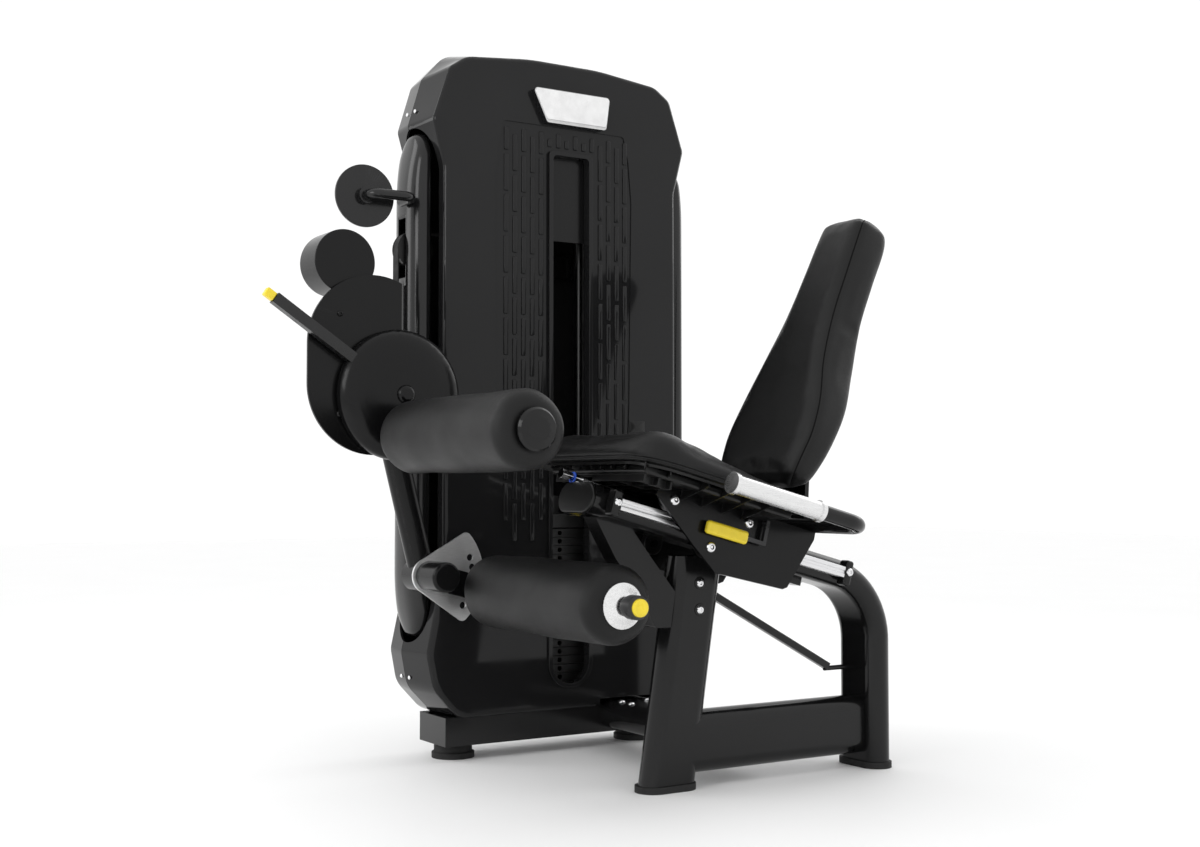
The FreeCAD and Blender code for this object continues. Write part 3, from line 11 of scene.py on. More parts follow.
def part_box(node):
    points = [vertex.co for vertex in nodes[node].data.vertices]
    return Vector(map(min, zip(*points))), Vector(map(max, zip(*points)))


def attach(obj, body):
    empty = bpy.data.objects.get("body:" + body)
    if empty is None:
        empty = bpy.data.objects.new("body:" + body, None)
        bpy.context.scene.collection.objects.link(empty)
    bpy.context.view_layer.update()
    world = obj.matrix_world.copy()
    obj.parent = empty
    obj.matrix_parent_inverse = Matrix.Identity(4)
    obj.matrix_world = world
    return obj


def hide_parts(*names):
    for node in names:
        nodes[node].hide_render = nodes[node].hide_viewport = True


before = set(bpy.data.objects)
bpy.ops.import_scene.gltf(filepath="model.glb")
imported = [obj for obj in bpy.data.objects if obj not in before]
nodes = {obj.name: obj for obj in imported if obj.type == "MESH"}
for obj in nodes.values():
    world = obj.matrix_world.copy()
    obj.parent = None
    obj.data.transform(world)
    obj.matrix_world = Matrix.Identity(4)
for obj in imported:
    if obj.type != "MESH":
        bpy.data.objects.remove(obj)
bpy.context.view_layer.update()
scene = bpy.context.scene

SLOPE = math.radians(14.6)
ALONG = Vector((math.cos(SLOPE), 0, -math.sin(SLOPE)))
RAISED = Vector((math.sin(SLOPE), 0, math.cos(SLOPE)))
LEAN = math.radians(24.5)
BACK_UP = Vector((math.sin(LEAN), 0, math.cos(LEAN)))
BACK_BEHIND = Vector((math.cos(LEAN), 0, -math.sin(LEAN)))
PIVOT = Vector((-0.401, 0, 0.771))


def on_rail(u, y, w):
    """A point of the sloped seat rail: u rearwards along it, w square above it."""
    return Vector((0, y, 0.5142)) + ALONG * u + RAISED * w


def on_back(length, y, depth):
    """A point of the backrest: length up along it, depth behind its front face."""
    return Vector((0.200, y, 0.596)) + BACK_UP * length + BACK_BEHIND * depth


# ---------------------------------------------------------------- materials
class Surface:
    """One node material. Coordinates are the object's own, which equal the CAD frame in metres."""

    def __init__(self, name, colour, roughness, metallic=0.0, **sockets):
        self.material = bpy.data.materials.new(name)
        self.material.use_nodes = True
        self.nodes = self.material.node_tree.nodes
        self.links = self.material.node_tree.links
        self.shader = self.nodes["Principled BSDF"]
        self.place = self.nodes.new("ShaderNodeTexCoord").outputs["Object"]
        self.put("Base Color", (*colour, 1))
        self.put("Roughness", roughness)
        self.put("Metallic", metallic)
        for socket, value in sockets.items():
            self.put(socket.replace("_", " "), value)

    def put(self, socket, value):
        self.fill(self.shader.inputs[socket], value)

    def fill(self, socket, value):
        if isinstance(value, bpy.types.NodeSocket):
            self.links.new(value, socket)
        else:
            socket.default_value = value

    def add(self, kind, inputs, output=0, **options):
        node = self.nodes.new("ShaderNode" + kind)
        for name, value in options.items():
            setattr(node, name, value)
        for socket, value in inputs.items():
            self.fill(node.inputs[socket], value)
        return node.outputs[output]

    def math(self, operation, first, second=0.0):
        return self.add("Math", {0: first, 1: second}, operation=operation)

    def noise(self, scale, detail=4.0, place=None):
        return self.add("TexNoise", {"Vector": place or self.place, "Scale": scale, "Detail": detail})

    def cells(self, scale, place=None, feature="F1"):
        return self.add("TexVoronoi", {"Vector": place or self.place, "Scale": scale}, feature=feature)

    def stretch(self, scale, turn=0.0):
        return self.add("Mapping", {"Vector": self.place, "Rotation": (0, turn, 0), "Scale": scale})

    def span(self, value, low, high, to_low, to_high):
        return self.add("MapRange", {0: value, 1: low, 2: high, 3: to_low, 4: to_high})

    def blend(self, factor, first, second):
        return self.add("Mix", {0: factor, 6: first, 7: second}, output=2, data_type="RGBA")

    def axis(self, name):
        return self.add("SeparateXYZ", {0: self.place}, output="XYZ".index(name))

    def mottle(self, colour, spread, scale):
        """The colour, drifting a little lighter and darker over the surface."""
        dark = tuple(c * (1 - spread) for c in colour)
        light = tuple(c * (1 + spread) for c in colour)
        drift = self.span(self.noise(scale, 6), 0.3, 0.7, 0, 1)
        return self.blend(drift, (*dark, 1), (*light, 1))

    def worn(self, base, colour, amount):
        """Lighter rubbed edges, broken up by noise."""
        edge = self.span(self.nodes.new("ShaderNodeNewGeometry").outputs["Pointiness"], 0.56, 0.68, 0, amount)
        patchy = self.math("MULTIPLY", edge, self.span(self.noise(55, 8), 0.42, 0.62, 0.2, 1))
        return self.blend(patchy, base, (*colour, 1))

    def relief(self, height, strength, distance, before=None):
        inputs = {"Height": height, "Strength": strength, "Distance": distance}
        if before is not None:
            inputs["Normal"] = before
        return self.add("Bump", inputs)


def paint(name, colour, roughness, gloss=0.27, wear=0.15):
    """Sprayed enamel over steel: faint orange peel, uneven gloss, rubbed edges."""
    s = Surface(name, colour, roughness, Specular_IOR_Level=gloss)
    s.put("Base Color", s.worn(s.mottle(colour, 0.12, 6), (0.05, 0.05, 0.052), wear))
    s.put("Roughness", s.span(s.noise(14, 6), 0.3, 0.7, roughness - 0.03, roughness + 0.05))
    s.put("Normal", s.relief(s.noise(420, 2), 0.05, 0.0004))
    return s.material


def moulded(name, colour, roughness, grain=1500, depth=0.16, gloss=0.3):
    """Moulded plastic with a fine spark-eroded grain and soft handling marks."""
    s = Surface(name, colour, roughness, Specular_IOR_Level=gloss)
    s.put("Base Color", s.worn(s.mottle(colour, 0.06, 5), tuple(c * 2.0 for c in colour), 0.2))
    s.put("Roughness", s.span(s.noise(12, 6), 0.3, 0.7, roughness - 0.02, roughness + 0.04))
    s.put("Normal", s.relief(s.noise(grain, 3), depth, 0.0002))
    return s.material


def vinyl(name, colour, roughness, pebble=620):
    """Grained upholstery vinyl: pebbles with fine pores, softer sheen in the hollows, and painted shade
    darkening the hollows.
    """
    s = Surface(name, colour, roughness, Specular_IOR_Level=0.29, Sheen_Weight=0.006,
                Sheen_Roughness=0.4, Sheen_Tint=(0.35, 0.35, 0.36, 1))
    warped = s.add("VectorMath", {0: s.place, 1: s.add("VectorMath", {
        0: s.add("TexNoise", {"Vector": s.place, "Scale": 240.0, "Detail": 2.0}, output=1),
        "Scale": 0.0008}, operation="SCALE")}, operation="ADD")
    pebbles = s.cells(pebble, warped, "DISTANCE_TO_EDGE")
    raised = s.span(pebbles, 0.0, 0.25, 0, 1)
    # painted shade: the colour is darkened in the hollows between the pebbles
    s.put("Base Color", s.blend(raised, (*(c * 0.55 for c in colour), 1), s.mottle(colour, 0.14, 9)))
    s.put("Roughness", s.math("ADD", s.span(raised, 0, 1, 0.12, 0.0),
                              s.span(s.noise(14, 6), 0.3, 0.7, roughness - 0.04, roughness + 0.08)))
    s.put("Normal", s.relief(s.noise(2600, 3), 0.10, 0.0002, s.relief(raised, 0.28, 0.0004)))
    return s.material


def brushed(name, colour, roughness, scale, turn=0.0):
    """Metal with fine drawn lines along one direction."""
    s = Surface(name, colour, roughness, 1.0)
    lines = s.noise(1.0, 5, s.stretch(scale, turn))
    shade = tuple(c * 0.86 for c in colour)
    s.put("Base Color", s.blend(s.span(lines, 0.3, 0.7, 0, 1), (*shade, 1), (*colour, 1)))
    rough = s.math("ADD", lines, s.noise(20, 6))
    s.put("Roughness", s.span(rough, 0.6, 1.4, roughness - 0.07, roughness + 0.10))
    s.put("Normal", s.relief(lines, 0.12, 0.0002))
    return s.material


def polished(name, colour, roughness):
    """Plated steel with faint smears."""
    s = Surface(name, colour, roughness, 1.0)
    s.put("Base Color", s.mottle(colour, 0.05, 60))
    s.put("Roughness", s.span(s.noise(70, 8), 0.35, 0.75, roughness, roughness + 0.14))
    s.put("Normal", s.relief(s.noise(160, 2), 0.03, 0.0004))
    return s.material


def rubber(name, colour):
    s = Surface(name, colour, 0.72, Specular_IOR_Level=0.3)
    s.put("Base Color", s.mottle(colour, 0.2, 25))
    s.put("Roughness", s.span(s.noise(60, 6), 0.3, 0.7, 0.62, 0.82))
    s.put("Normal", s.relief(s.cells(900), 0.22, 0.0003))
    return s.material


def iron(name, colour):
    """Cast plates under black stove paint."""
    s = Surface(name, colour, 0.5, Specular_IOR_Level=0.5)
    s.put("Base Color", s.worn(s.mottle(colour, 0.25, 14), (0.12, 0.12, 0.12), 0.5))
    s.put("Roughness", s.span(s.noise(40, 8), 0.3, 0.7, 0.36, 0.6))
    s.put("Normal", s.relief(s.noise(420, 5), 0.35, 0.0006))
    return s.material


def two_tone(name, where, first, second, roughness=0.3):
    """Moulded plastic in two colours: second where the test is above zero."""
    s = Surface(name, first, roughness, Specular_IOR_Level=0.45)
    test = s.span(where(s), -0.0002, 0.0002, 0, 1)
    s.put("Base Color", s.blend(test, s.mottle(first, 0.12, 30), s.mottle(second, 0.07, 40)))
    s.put("Roughness", s.span(s.noise(50, 8), 0.3, 0.7, roughness - 0.06, roughness + 0.1))
    s.put("Normal", s.relief(s.noise(1300, 3), 0.16, 0.0003))
    return s.material


def past_pivot(s):
    """Above zero beyond 0.32 m from the arm's pivot."""
    flat = s.add("VectorMath", {0: s.place, 1: (1, 0, 1)}, operation="MULTIPLY")
    reach = s.add("VectorMath", {0: flat, 1: tuple(PIVOT)}, output=1, operation="DISTANCE")
    return s.math("SUBTRACT", reach, 0.322)


def before_crank(s):
    """Above zero on the lever's hand grip, ahead of its bent rod."""
    along = s.add("VectorMath", {0: s.place, 1: tuple(ALONG)}, output=1, operation="DOT_PRODUCT")
    return s.math("SUBTRACT", 0.1125 + Vector((0, 0, 0.5142)).dot(ALONG), along)


BLACK, YELLOW = (0.012, 0.012, 0.013), (0.80, 0.62, 0.03)
LOOKS = {
    "paint": paint("black_enamel", (0.0052, 0.0052, 0.0054), 0.15, 0.30),
    "satin": paint("black_enamel_satin", (0.0040, 0.0040, 0.0042), 0.20, 0.22),
    # Painted light: a lighter copy of the same black enamel, so the columns, base tube, cross tube and hook
    # look brighter than the other black parts
    "column": paint("black_enamel_painted_lighter", (0.0085, 0.0085, 0.0088), 0.16, 0.38),
    "shroud": moulded("shroud_plastic", (0.0115, 0.0115, 0.0119), 0.06, 1500, 0.02, 0.22),
    "panel": moulded("window_panel_plastic", (0.005, 0.005, 0.0052), 0.2, gloss=0.25),
    "trim": moulded("black_trim", (0.006, 0.006, 0.006), 0.28),
    "tray": moulded("seat_tray_plastic", (0.006, 0.006, 0.006), 0.30, 700, 0.3),
    "vinyl": vinyl("black_vinyl", (0.0040, 0.0040, 0.0042), 0.33),
    "foam": vinyl("roller_skin", (0.0042, 0.0042, 0.0044), 0.40, 900),
    "chrome": polished("chrome", (0.80, 0.80, 0.81), 0.07),
    "rail": brushed("rail_aluminium", (0.82, 0.82, 0.83), 0.30, (6, 900, 900), -SLOPE),
    "grip": brushed("grip_aluminium", (0.82, 0.82, 0.82), 0.26, (8, 1200, 1200), -SLOPE),
    "steel": brushed("index_steel", (0.80, 0.80, 0.80), 0.40, (60, 400, 900)),
    # Painted reflection: the steel is darkened so the guide rods and lift stem look as if they mirror the
    # dark inside of the tower
    "rod": brushed("guide_rod_painted_dark_steel", (0.10, 0.10, 0.10), 0.30, (900, 900, 8)),
    "dish": brushed("dish_aluminium", (0.84, 0.84, 0.84), 0.26, (300, 30, 300)),
    "rubber": rubber("black_rubber", (0.016, 0.016, 0.016)),
    "belt": rubber("belt_urethane", (0.010, 0.010, 0.010)),
    "iron": iron("cast_iron", (0.005, 0.005, 0.005)),
    "pin": moulded("yellow_plastic", YELLOW, 0.3),
    "seam": moulded("seam_thread", (0.0015, 0.0015, 0.0015), 0.7, gloss=0.1),
    "blue": moulded("blue_ring", (0.02, 0.09, 0.55), 0.3),
    "knob": two_tone("knob_plastic", lambda s: s.math("SUBTRACT", -0.2061, s.axis("Y")), BLACK, YELLOW),
    "lever": two_tone("lever_plastic", before_crank, BLACK, YELLOW),
    "start": two_tone("start_lever_paint", past_pivot, (0.006, 0.006, 0.0063), YELLOW),
    "badge": two_tone("badge_plastic", lambda s: s.math("SUBTRACT", 0.4551, s.axis("Y")),
                      BLACK, (0.82, 0.82, 0.82), 0.22),
}

FINISHES = {
    "paint": ["tower_uprights", "tower_crossbeams", "front_leg", "lower_beam", "main_tube", "front_brace",
              "rear_brace", "pivot_bracket", "back_bracket", "handle_tube", "thigh_roller_shaft",
              "rail_end_clamps"],
    "satin": ["carriage_frame", "guard_plate", "swing_arm", "belt_cam", "counterweight", "shin_link",
              "pivot_disc", "main_axle"],
    # these parts get the lighter copy of the black enamel, which is painted light
    "column": ["tower_base_tube", "cross_tube", "storage_hook"],
    "shroud": ["front_shroud", "rear_shroud", "window_frame"],
    "panel": ["window_panel"],
    "trim": ["main_tube_cap", "column_pulley", "stack_pulley", "front_wheels", "rear_wheels", "lower_wheels"],
    "tray": ["seat_base"],
    "chrome": ["frame_bolts", "buffer_shaft"],
    # these parts get the darkened steel, which is a painted dark reflection
    "rod": ["guide_rods", "lift_stem"],
    "dish": ["shin_roller_shaft"],
    "rail": ["slide_rails"],
    "grip": ["hand_grips"],
    "steel": ["index_plate"],
    "rubber": ["tower_feet", "frame_feet"],
    "belt": ["belt", "belt_stack_run"],
    "iron": ["resting_plates", "picked_plates", "head_plate"],
    "pin": ["selector_pin"],
    "knob": ["pull_knob"],
    "lever": ["seat_lever"],
    "start": ["start_lever"],
    "badge": ["badge"],
}


def dress(node, look):
    """Gives a CAD node its finish, softens its edges and smooths its curved faces."""
    obj = nodes[node]
    obj.data.materials.clear()
    obj.data.materials.append(LOOKS[look])
    for polygon in obj.data.polygons:
        polygon.use_smooth = True
    weld = obj.modifiers.new("Weld", "WELD")
    weld.merge_threshold = 2e-6
    bevel = obj.modifiers.new("Bevel", "BEVEL")
    bevel.width = 0.0009
    bevel.segments = 2
    bevel.limit_method = "ANGLE"
    bevel.angle_limit = math.radians(32)
    shade = obj.modifiers.new("Shade", "WEIGHTED_NORMAL")
    shade.weight = 80


for look, names in FINISHES.items():
    for name in names:
        dress(name, look)


# ---------------------------------------------------------------- mesh tools
def make(name, verts, faces, look, smooth=True):
    mesh = bpy.data.meshes.new(name)
    mesh.from_pydata([tuple(v) for v in verts], [], faces)
    mesh.materials.append(LOOKS[look])
    for polygon in mesh.polygons:
        polygon.use_smooth = smooth
    obj = bpy.data.objects.new(name, mesh)
    scene.collection.objects.link(obj)
    facing = bmesh.new()
    facing.from_mesh(mesh)
    bmesh.ops.recalc_face_normals(facing, faces=facing.faces)
    facing.to_mesh(mesh)
    facing.free()
    return obj


def skin(rings, closed_ends=True):
    """Vertices and faces of a skin over rings of equal length, with fans on both ends."""
    count = len(rings[0])
    verts = [v for ring in rings for v in ring]
    faces = []
    for r in range(len(rings) - 1):
        for k in range(count):
            a, b = r * count + k, r * count + (k + 1) % count
            faces.append((a, b, b + count, a + count))
    if closed_ends:
        for start, ring in ((0, rings[0]), ((len(rings) - 1) * count, rings[-1])):
            hub = len(verts)
            verts.append(sum(ring, Vector()) / count)
            faces += [(start + k, start + (k + 1) % count, hub) for k in range(count)]
    return verts, faces


def lathe(profile, centre, axis="Y", steps=96):
    """Rings of a turned shape; the profile is (radius, distance along the axis)."""
    rings = []
    for radius, along in profile:
        ring = []
        for k in range(steps):
            angle = 2 * math.pi * k / steps
            c, s = radius * math.cos(angle), radius * math.sin(angle)
            offset = {"X": (along, c, s), "Y": (c, along, s), "Z": (c, s, along)}[axis]
            ring.append(Vector(centre) + Vector(offset))
        rings.append(ring)
    return rings


def corner(x, y, radius, start, steps=8):
    """Points of a quarter turn, from the start angle in degrees, anticlockwise."""
    angles = [math.radians(start + 90 * k / steps) for k in range(steps + 1)]
    return [(x + radius * math.cos(a), y + radius * math.sin(a)) for a in angles]


def rounded_outline(x0, x1, y0, y1, low_radius, high_radius, steps):
    """Rectangle with rounded corners, one radius on its low-x side and one on its high-x side."""
    return (corner(x0 + low_radius, y1 - low_radius, low_radius, 90, steps)
            + corner(x0 + low_radius, y0 + low_radius, low_radius, 180, steps)
            + corner(x1 - high_radius, y0 + high_radius, high_radius, 270, steps)
            + corner(x1 - high_radius, y1 - high_radius, high_radius, 0, steps))


BLOCK_FACES = [(0, 1, 2, 3), (4, 5, 6, 7), (0, 1, 5, 4), (1, 2, 6, 5), (2, 3, 7, 6), (3, 0, 4, 7)]


def box_shape(x0, x1, y0, y1, z0, z1):
    verts = [Vector((x, y, z)) for z in (z0, z1) for x, y in ((x0, y0), (x1, y0), (x1, y1), (x0, y1))]
    return verts, BLOCK_FACES


def apply_modifiers(obj):
    graph = bpy.context.evaluated_depsgraph_get()
    mesh = bpy.data.meshes.new_from_object(obj.evaluated_get(graph))
    obj.modifiers.clear()
    obj.data = mesh


CLOTH_FRAMES = 20


def inflate(obj, voxel, cap, held):
    """Voxel remesh, a short cloth run with inner pressure and capped travel, then one subdivision."""
    bpy.context.view_layer.objects.active = obj
    obj.data.remesh_voxel_size = voxel
    bpy.ops.object.voxel_remesh()
    start = [v.co.copy() for v in obj.data.vertices]
    group = obj.vertex_groups.new(name="held")
    group.add([v.index for v in obj.data.vertices if held(v.co)], 1.0, "REPLACE")
    cloth = obj.modifiers.new("Cloth", "CLOTH")
    cloth.settings.quality = 5
    cloth.settings.mass = 0.3
    cloth.settings.tension_stiffness = 40
    cloth.settings.compression_stiffness = 40
    cloth.settings.shear_stiffness = 20
    cloth.settings.bending_stiffness = 30
    cloth.settings.vertex_group_mass = "held"
    cloth.settings.use_pressure = True
    cloth.settings.uniform_pressure_force = 4
    cloth.settings.effector_weights.gravity = 0
    cloth.point_cache.frame_end = CLOTH_FRAMES
    for number in range(1, CLOTH_FRAMES + 1):
        scene.frame_set(number)
    moved = obj.evaluated_get(bpy.context.evaluated_depsgraph_get()).data
    ends = [v.co.copy() for v in moved.vertices]
    obj.modifiers.clear()
    scene.frame_set(1)
    for vertex, before, after in zip(obj.data.vertices, start, ends):
        shift = after - before
        vertex.co = before + shift * min(1.0, cap / max(shift.length, 1e-9))
    relax = obj.modifiers.new("Relax", "SMOOTH")
    relax.factor = 0.5
    relax.iterations = 10
    divide = obj.modifiers.new("Divide", "SUBSURF")
    divide.levels = divide.render_levels = 1
    apply_modifiers(obj)
    for polygon in obj.data.polygons:
        polygon.use_smooth = True


def land(obj, points, origin):
    """Points moved onto the skin of obj, each along the line from outside towards its own origin."""
    tree = BVHTree.FromPolygons([v.co for v in obj.data.vertices], [p.vertices for p in obj.data.polygons])
    found = []
    for point, inner in zip(points, origin):
        hit = tree.ray_cast(point, (inner - point).normalized())
        if hit[0] is not None:
            found.append((hit[0], hit[1]))
    return found


def dense(points, step):
    """The same line with points no further apart than the step."""
    line = [points[0]]
    for point in points[1:]:
        gap = point - line[-1]
        parts = max(1, math.ceil(gap.length / step))
        base = line[-1]
        line += [base + gap * (k / parts) for k in range(1, parts + 1)]
    return line


def crease(obj, line, depth, width):
    """Presses a seam into the skin along a line."""
    tree = kdtree.KDTree(len(line))
    for number, point in enumerate(line):
        tree.insert(point, number)
    tree.balance()
    normals = [v.normal.copy() for v in obj.data.vertices]
    for vertex, normal in zip(obj.data.vertices, normals):
        distance = tree.find(vertex.co)[2]
        if distance < width * 3:
            vertex.co -= normal * depth * math.exp(-((distance / width) ** 2))
    obj.data.update()


def cord_mesh(name, line, radius, look, body, sides=8, closed=False):
    """A thin tube along a line of points."""
    rings = []
    count = len(line)
    side = Vector((0, 1, 0))
    for k, point in enumerate(line):
        ahead = line[(k + 1) % count] if closed or k + 1 < count else point
        behind = line[k - 1] if closed or k else point
        forward = (ahead - behind).normalized()
        side = (side - forward * side.dot(forward)).normalized()
        other = forward.cross(side)
        rings.append([point + (side * math.cos(a) + other * math.sin(a)) * radius
                      for a in (2 * math.pi * s / sides for s in range(sides))])
    if closed:
        rings.append(rings[0])
    obj = make(name, *skin(rings, not closed), look)
    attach(obj, body)
    return obj


def joined(parts):
    """One vertex and face list out of several."""
    verts, faces = [], []
    for v, f in parts:
        faces += [tuple(i + len(verts) for i in face) for face in f]
        verts += v
    return verts, faces


# ---------------------------------------------------------------- padded pieces
SEAT_LOW, SEAT_HALF, SEAT_FRONT, SEAT_REAR = 0.0724, 0.207, 0.212, 0.194


def seat_plan(inset=0.0, steps=14):
    """Outline of the seat seen from above: broad rounded front corners, tighter rear ones."""
    half, front, rear = SEAT_HALF - inset, SEAT_FRONT - inset, SEAT_REAR - inset
    return rounded_outline(-front, rear, -half, half, 0.085 - inset, 0.045 - inset, steps)


def seat_top(u):
    """Height of the seat's top over the rail: highest just behind the fat front roll."""
    crest = -0.165
    behind, ahead = max(0.0, u - crest) / 0.359, max(0.0, crest - u) / 0.047
    return 0.1455 - 0.044 * behind ** 1.15 - 0.0275 * ahead ** 2


def build_seat():
    heights = ((0.012, 0.0), (0.005, 0.04), (0.0035, 0.22), (0.0035, 0.42), (0.007, 0.62), (0.015, 0.80),
               (0.029, 0.94), (0.046, 1.0))
    rings = [[on_rail(u, y, SEAT_LOW + 0.0015 + (seat_top(u) - SEAT_LOW - 0.006) * rise)
              for u, y in seat_plan(inset)] for inset, rise in heights]
    rim = seat_plan(0.046)
    for share in (0.75, 0.5, 0.25):
        rings.append([on_rail(u * share, y * share, seat_top(u * share) - 0.0045) for u, y in rim])
    seat = make("seat_pad", *skin(rings), "vinyl")
    inflate(seat, 0.0055, 0.006, lambda p: (p - on_rail(0, 0, 0)).dot(RAISED) < SEAT_LOW + 0.006)
    plan = seat_plan(-0.03, 40)
    outer = dense([on_rail(u, y, 0.079) for u, y in plan + plan[:1]], 0.004)
    inner = [on_rail(0.2 * (p - on_rail(0, 0, 0)).dot(ALONG), 0.2 * p.y, 0.079) for p in outer]
    landed = land(seat, outer, inner)[:-1]
    crease(seat, [point for point, normal in landed], 0.0028, 0.0035)
    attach(seat, "carriage")
    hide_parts("seat_cushion")
    welt = [point - normal * 0.0012 for point, normal in landed]
    cord_mesh("seat_welt", welt, 0.0019, "vinyl", "carriage", closed=True)


BACK_STATIONS = [
    # length up the pad, half width, depth of its front face, depth of its rear face
    (0.004, 0.116, 0.014, 0.052), (0.024, 0.128, 0.004, 0.066), (0.060, 0.137, 0.000, 0.075),
    (0.115, 0.144, 0.000, 0.082), (0.190, 0.134, -0.001, 0.094), (0.280, 0.107, -0.005, 0.100),
    (0.385, 0.086, -0.004, 0.096), (0.490, 0.078, -0.002, 0.097), (0.580, 0.072, 0.000, 0.100),
    (0.612, 0.068, 0.003, 0.092), (0.627, 0.060, 0.014, 0.078),
]


def back_station(length):
    """Half width, front and rear depth at a length, on smooth curves through the stations."""
    places = [row[0] for row in BACK_STATIONS]
    top = len(places) - 1
    k = max(0, next((i for i, place in enumerate(places) if place > length), top) - 1)
    before, first, last, after = (BACK_STATIONS[min(max(i, 0), top)] for i in range(k - 1, k + 3))
    span = last[0] - first[0]
    t = min(1.0, max(0.0, (length - first[0]) / span))
    found = []
    for column in (1, 2, 3):
        rise_in = (last[column] - before[column]) / max(last[0] - before[0], 1e-6) * span
        rise_out = (after[column] - first[column]) / max(after[0] - first[0], 1e-6) * span
        found.append((2 * t ** 3 - 3 * t ** 2 + 1) * first[column] + (t ** 3 - 2 * t ** 2 + t) * rise_in
                     + (3 * t ** 2 - 2 * t ** 3) * last[column] + (t ** 3 - t ** 2) * rise_out)
    return found


def back_ring(length, inset, shrink=1.0, steps=7):
    """Section of the backrest with softly rounded corners."""
    half, front, rear = back_station(length)
    half, front, rear = (half - inset) * shrink, front + inset, rear - inset
    middle = (front + rear) / 2
    front, rear = middle + (front - middle) * shrink, middle + (rear - middle) * shrink
    curve = min(0.024, (rear - front) * 0.40, half * 0.45)
    points = rounded_outline(front, rear, -half, half, curve, curve, steps)
    return [on_back(length, y, depth) for depth, y in points]


def build_back():
    lengths = [0.008 + 0.615 * k / 40 for k in range(41)]
    inset = 0.003
    rings = [back_ring(lengths[0], inset, 0.80)]
    rings += [back_ring(length, inset) for length in lengths[1:-1]]
    rings.append(back_ring(lengths[-1], inset, 0.86))
    back = make("back_pad", *skin(rings), "vinyl")
    rear_face = [(length, back_station(length)[2]) for length in lengths]

    def on_rear(point):
        """True on the flat rear face, which is fixed to its board."""
        from_foot = point - on_back(0, 0, 0)
        nearest = min(rear_face, key=lambda row: abs(row[0] - from_foot.dot(BACK_UP)))
        return from_foot.dot(BACK_BEHIND) > nearest[1] - 0.008

    inflate(back, 0.005, 0.003, on_rear)
    seams = []
    for side in (-1, 1):
        outer, inner = [], []
        for k in range(121):
            length = 0.010 + 0.611 * k / 120
            half, front, _ = back_station(length)
            inner.append(on_back(length, side * (half - 0.030), front + 0.030))
            outer.append(on_back(length, side * (half + 0.030), front - 0.018))
        seams.append(land(back, outer, inner))
    over_top = []
    for y in (-0.048, 0.048):
        depths = [0.012 + 0.070 * k / 30 for k in range(31)]
        over_top.append(land(back, [on_back(0.66, y, depth) for depth in depths],
                             [on_back(0.55, y, depth) for depth in depths]))
    for landed in seams + over_top:
        crease(back, dense([point for point, normal in landed], 0.003), 0.0016, 0.0034)
    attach(back, "carriage")
    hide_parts("backrest_cushion")
    for landed, name in zip(seams, ("right", "left")):
        sunk = [point - normal * 0.0010 for point, normal in landed]
        cord_mesh(f"back_seam_{name}", sunk, 0.0010, "seam", "carriage")


def build_roller(name, body, node, centre, radius, near, far, bore):
    """Moulded foam roller about a (x, z) centre: round shoulders, ends that dip towards the bore."""
    shoulder = 0.030
    profile = [(bore, near + 0.006), (bore + 0.004, near + 0.0025), (bore + 0.014, near + 0.0006),
               (radius - shoulder - 0.004, near)]
    profile += [(radius - shoulder + shoulder * math.sin(a), near + shoulder - shoulder * math.cos(a))
                for a in (math.pi / 2 * k / 12 for k in range(13))]
    length = far - near
    profile += [(radius + 0.0008 * math.sin(math.pi * k / 20),
                 near + shoulder + (length - 2 * shoulder) * k / 20) for k in range(1, 20)]
    profile += [(radius - shoulder + shoulder * math.cos(a), far - shoulder + shoulder * math.sin(a))
                for a in (math.pi / 2 * k / 12 for k in range(13))]
    profile += [(radius - shoulder - 0.004, far), (bore + 0.014, far - 0.0006), (bore + 0.004, far - 0.0025),
                (bore, far - 0.006)]
    rings = lathe(profile, (centre[0], 0, centre[1]))
    for ring in rings:
        for point in ring:
            out = Vector((point.x - centre[0], 0, point.z - centre[1]))
            turn = math.atan2(out.z, out.x)
            give = 0.0006 * math.sin(3 * turn + point.y * 21) + 0.0005 * math.sin(5 * turn - point.y * 34)
            point += out * (give - 0.0006) / radius
    verts, faces = skin(rings, False)
    pad = make(name, verts, faces, "foam")
    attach(pad, body)
    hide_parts(node)


build_seat()
build_back()
build_roller("shin_roller_skin", "shin_roller", "shin_roller_pad",
             (-0.198, 0.373), 0.0745, -0.150, 0.345, 0.0205)
build_roller("thigh_roller_skin", "thigh_roller", "thigh_roller_pad",
             (-0.415, 0.684), 0.0715, -0.210, 0.284, 0.0205)


# ---------------------------------------------------------------- tower details
TOWER_X, TOWER_FACE = 0.058, 0.471


